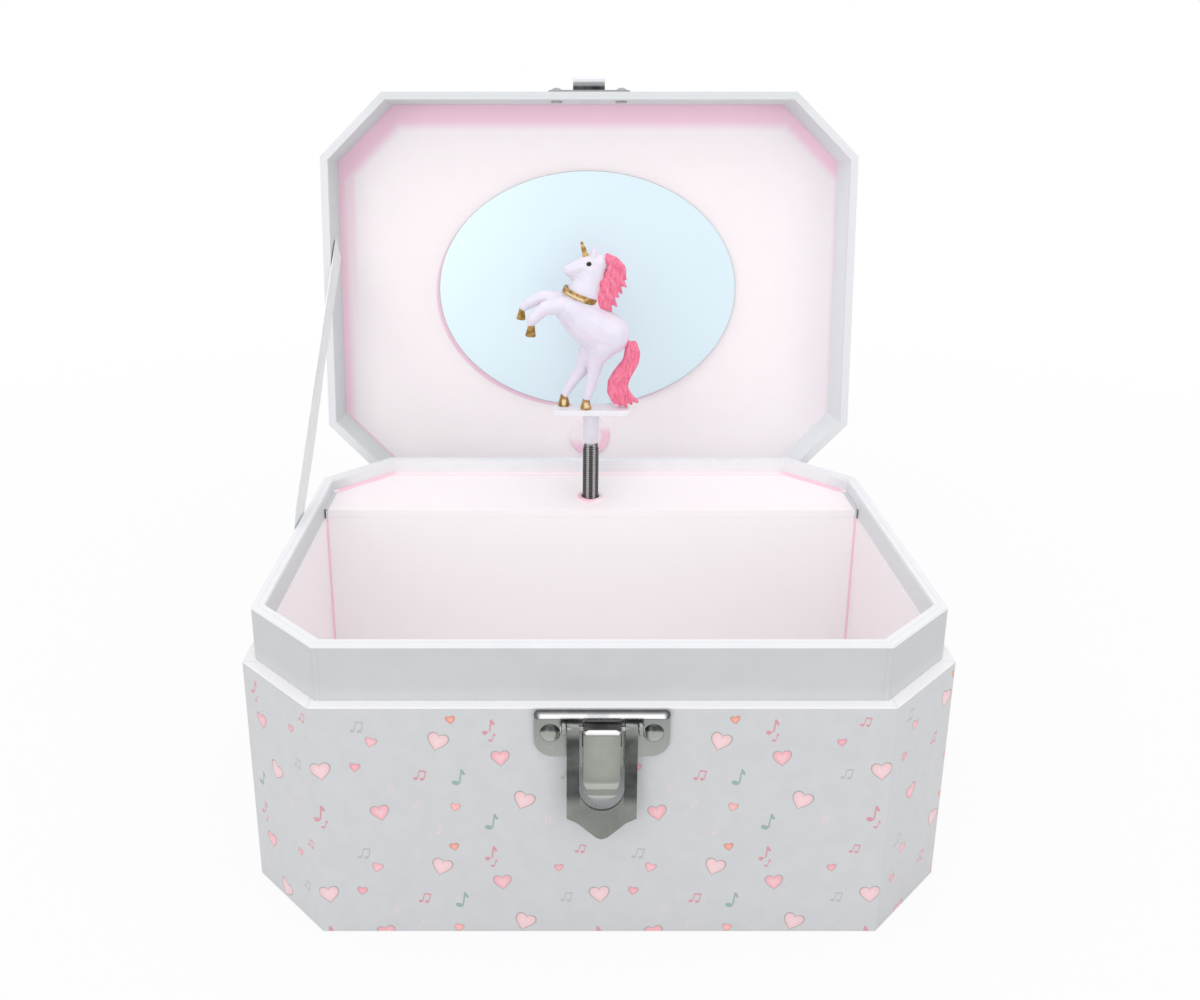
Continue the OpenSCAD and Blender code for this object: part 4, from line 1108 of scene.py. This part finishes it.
# ---- Mane and tail ----
# Locks of coral pink, moulded with the figure. They lie over each other and end in loose points.
# Each lock is a chain of (x, z, radius) in mm.
MANE = (((5.1, 151.6, 1.2), (6.8, 150.8, 1.34), (9.1, 148.8, 1.06), (10.0, 146.2, 0.28)),
        ((5.6, 150.5, 1.27), (6.9, 149.1, 1.41), (8.6, 147.0, 1.2), (10.3, 145.6, 0.25)),
        ((5.5, 149.1, 1.27), (6.5, 147.4, 1.48), (8.3, 145.3, 1.2), (10.3, 143.4, 0.25)),
        ((4.9, 147.4, 1.27), (5.9, 145.3, 1.48), (7.5, 143.4, 1.2), (9.1, 141.4, 0.25)),
        ((4.2, 145.8, 1.2), (5.1, 143.6, 1.48), (6.3, 141.5, 1.2), (8.1, 140.2, 0.25)),
        ((3.0, 144.6, 1.2), (4.2, 142.2, 1.48), (5.5, 140.0, 1.27), (7.5, 137.4, 0.25)),
        ((2.4, 143.1, 1.06), (3.6, 140.5, 1.41), (4.8, 138.4, 1.2), (6.0, 135.7, 0.25)),
        ((2.0, 141.5, 0.85), (2.9, 139.1, 1.2), (3.8, 137.4, 0.92), (4.8, 136.1, 0.25)),
        ((1.8, 141.2, 0.63), (2.3, 138.8, 0.77), (2.8, 137.0, 0.63), (3.2, 135.3, 0.25)),
        ((4.5, 152.6, 0.6), (6.1, 151.6, 0.85), (7.9, 150.0, 0.85), (9.2, 147.9, 0.42)))
TAIL = (((13.2, 124.9, 1.0), (14.1, 122.2, 1.0), (13.7, 119.3, 1.0), (12.2, 116.5, 1.0),
         (11.0, 113.9, 0.9), (10.5, 111.4, 0.9), (11.6, 108.8, 0.85), (13.4, 107.0, 0.6),
         (14.7, 106.4, 0.28)),
        ((12.7, 124.9, 1.0), (13.3, 121.9, 1.1), (12.5, 119.0, 1.1), (10.8, 115.9, 1.1),
         (9.5, 113.2, 1.1), (9.2, 110.3, 1.1), (10.3, 107.7, 0.9), (12.7, 105.7, 0.35)),
        ((12.2, 124.7, 0.9), (12.4, 121.9, 1.1), (11.3, 119.0, 1.1), (9.4, 115.9, 1.1),
         (7.9, 113.2, 1.1), (7.6, 110.3, 1.1), (8.7, 107.4, 1.0), (11.2, 105.0, 0.32)),
        ((11.7, 124.2, 0.85), (11.8, 121.7, 0.9), (10.2, 118.6, 1.0), (8.2, 115.7, 1.1),
         (6.7, 113.0, 1.1), (6.4, 110.3, 1.1), (7.1, 107.7, 0.9), (9.3, 105.1, 0.32)),
        ((11.3, 125.3, 0.9), (11.5, 123.0, 1.2), (11.0, 120.6, 1.1), (9.6, 118.0, 0.7)),
        ((11.4, 123.6, 0.7), (11.4, 121.5, 0.7), (9.7, 118.6, 0.8), (7.5, 115.6, 0.85),
         (6.0, 112.8, 0.85), (5.7, 109.9, 0.8), (6.6, 107.4, 0.56), (7.3, 105.9, 0.25)))


def hair(name, locks, spread, node):
    shape = bmesh.new()
    for layer, share in ((-1, 1.0), (0, 1.08), (1, 1.0)):
        for i, lock in enumerate(locks):
            bob = 0.35 * math.sin(2.4 * i + layer)
            limbs(shape, [(x, layer * spread + bob, z, r * share) for x, z, r in lock])
    piece = made(name, shape)
    fused(piece, 0.26, 1)
    dress(piece, coral, "hair_plastic", node)


def coral_plastic(place):
    grit = place.noise(0.0007, 4)
    strand = place.node("Mapping", {"Vector": place, "Rotation": (0, math.radians(35), 0),
                                    "Scale": (3.2, 1, 1)}).noise(0.0022, 3)
    colour = place.node("ValToRGB", {0: strand * 0.6 + grit * 0.4}, stops=[
        (0.3, rgb(220, 90, 128)), (0.5, rgb(246, 122, 154)), (0.7, rgb(253, 158, 182))])
    return {"Base Color": colour, "Roughness": grit * 0.2 + 0.4,
            "Relief": (strand * 0.5 + grit * 0.5, 0.00035)}


coral = finish("coral_plastic", coral_plastic)
hair("mane", MANE, 2.0, "unicorn_mane")
hair("tail", TAIL, 0.9, "unicorn_tail")
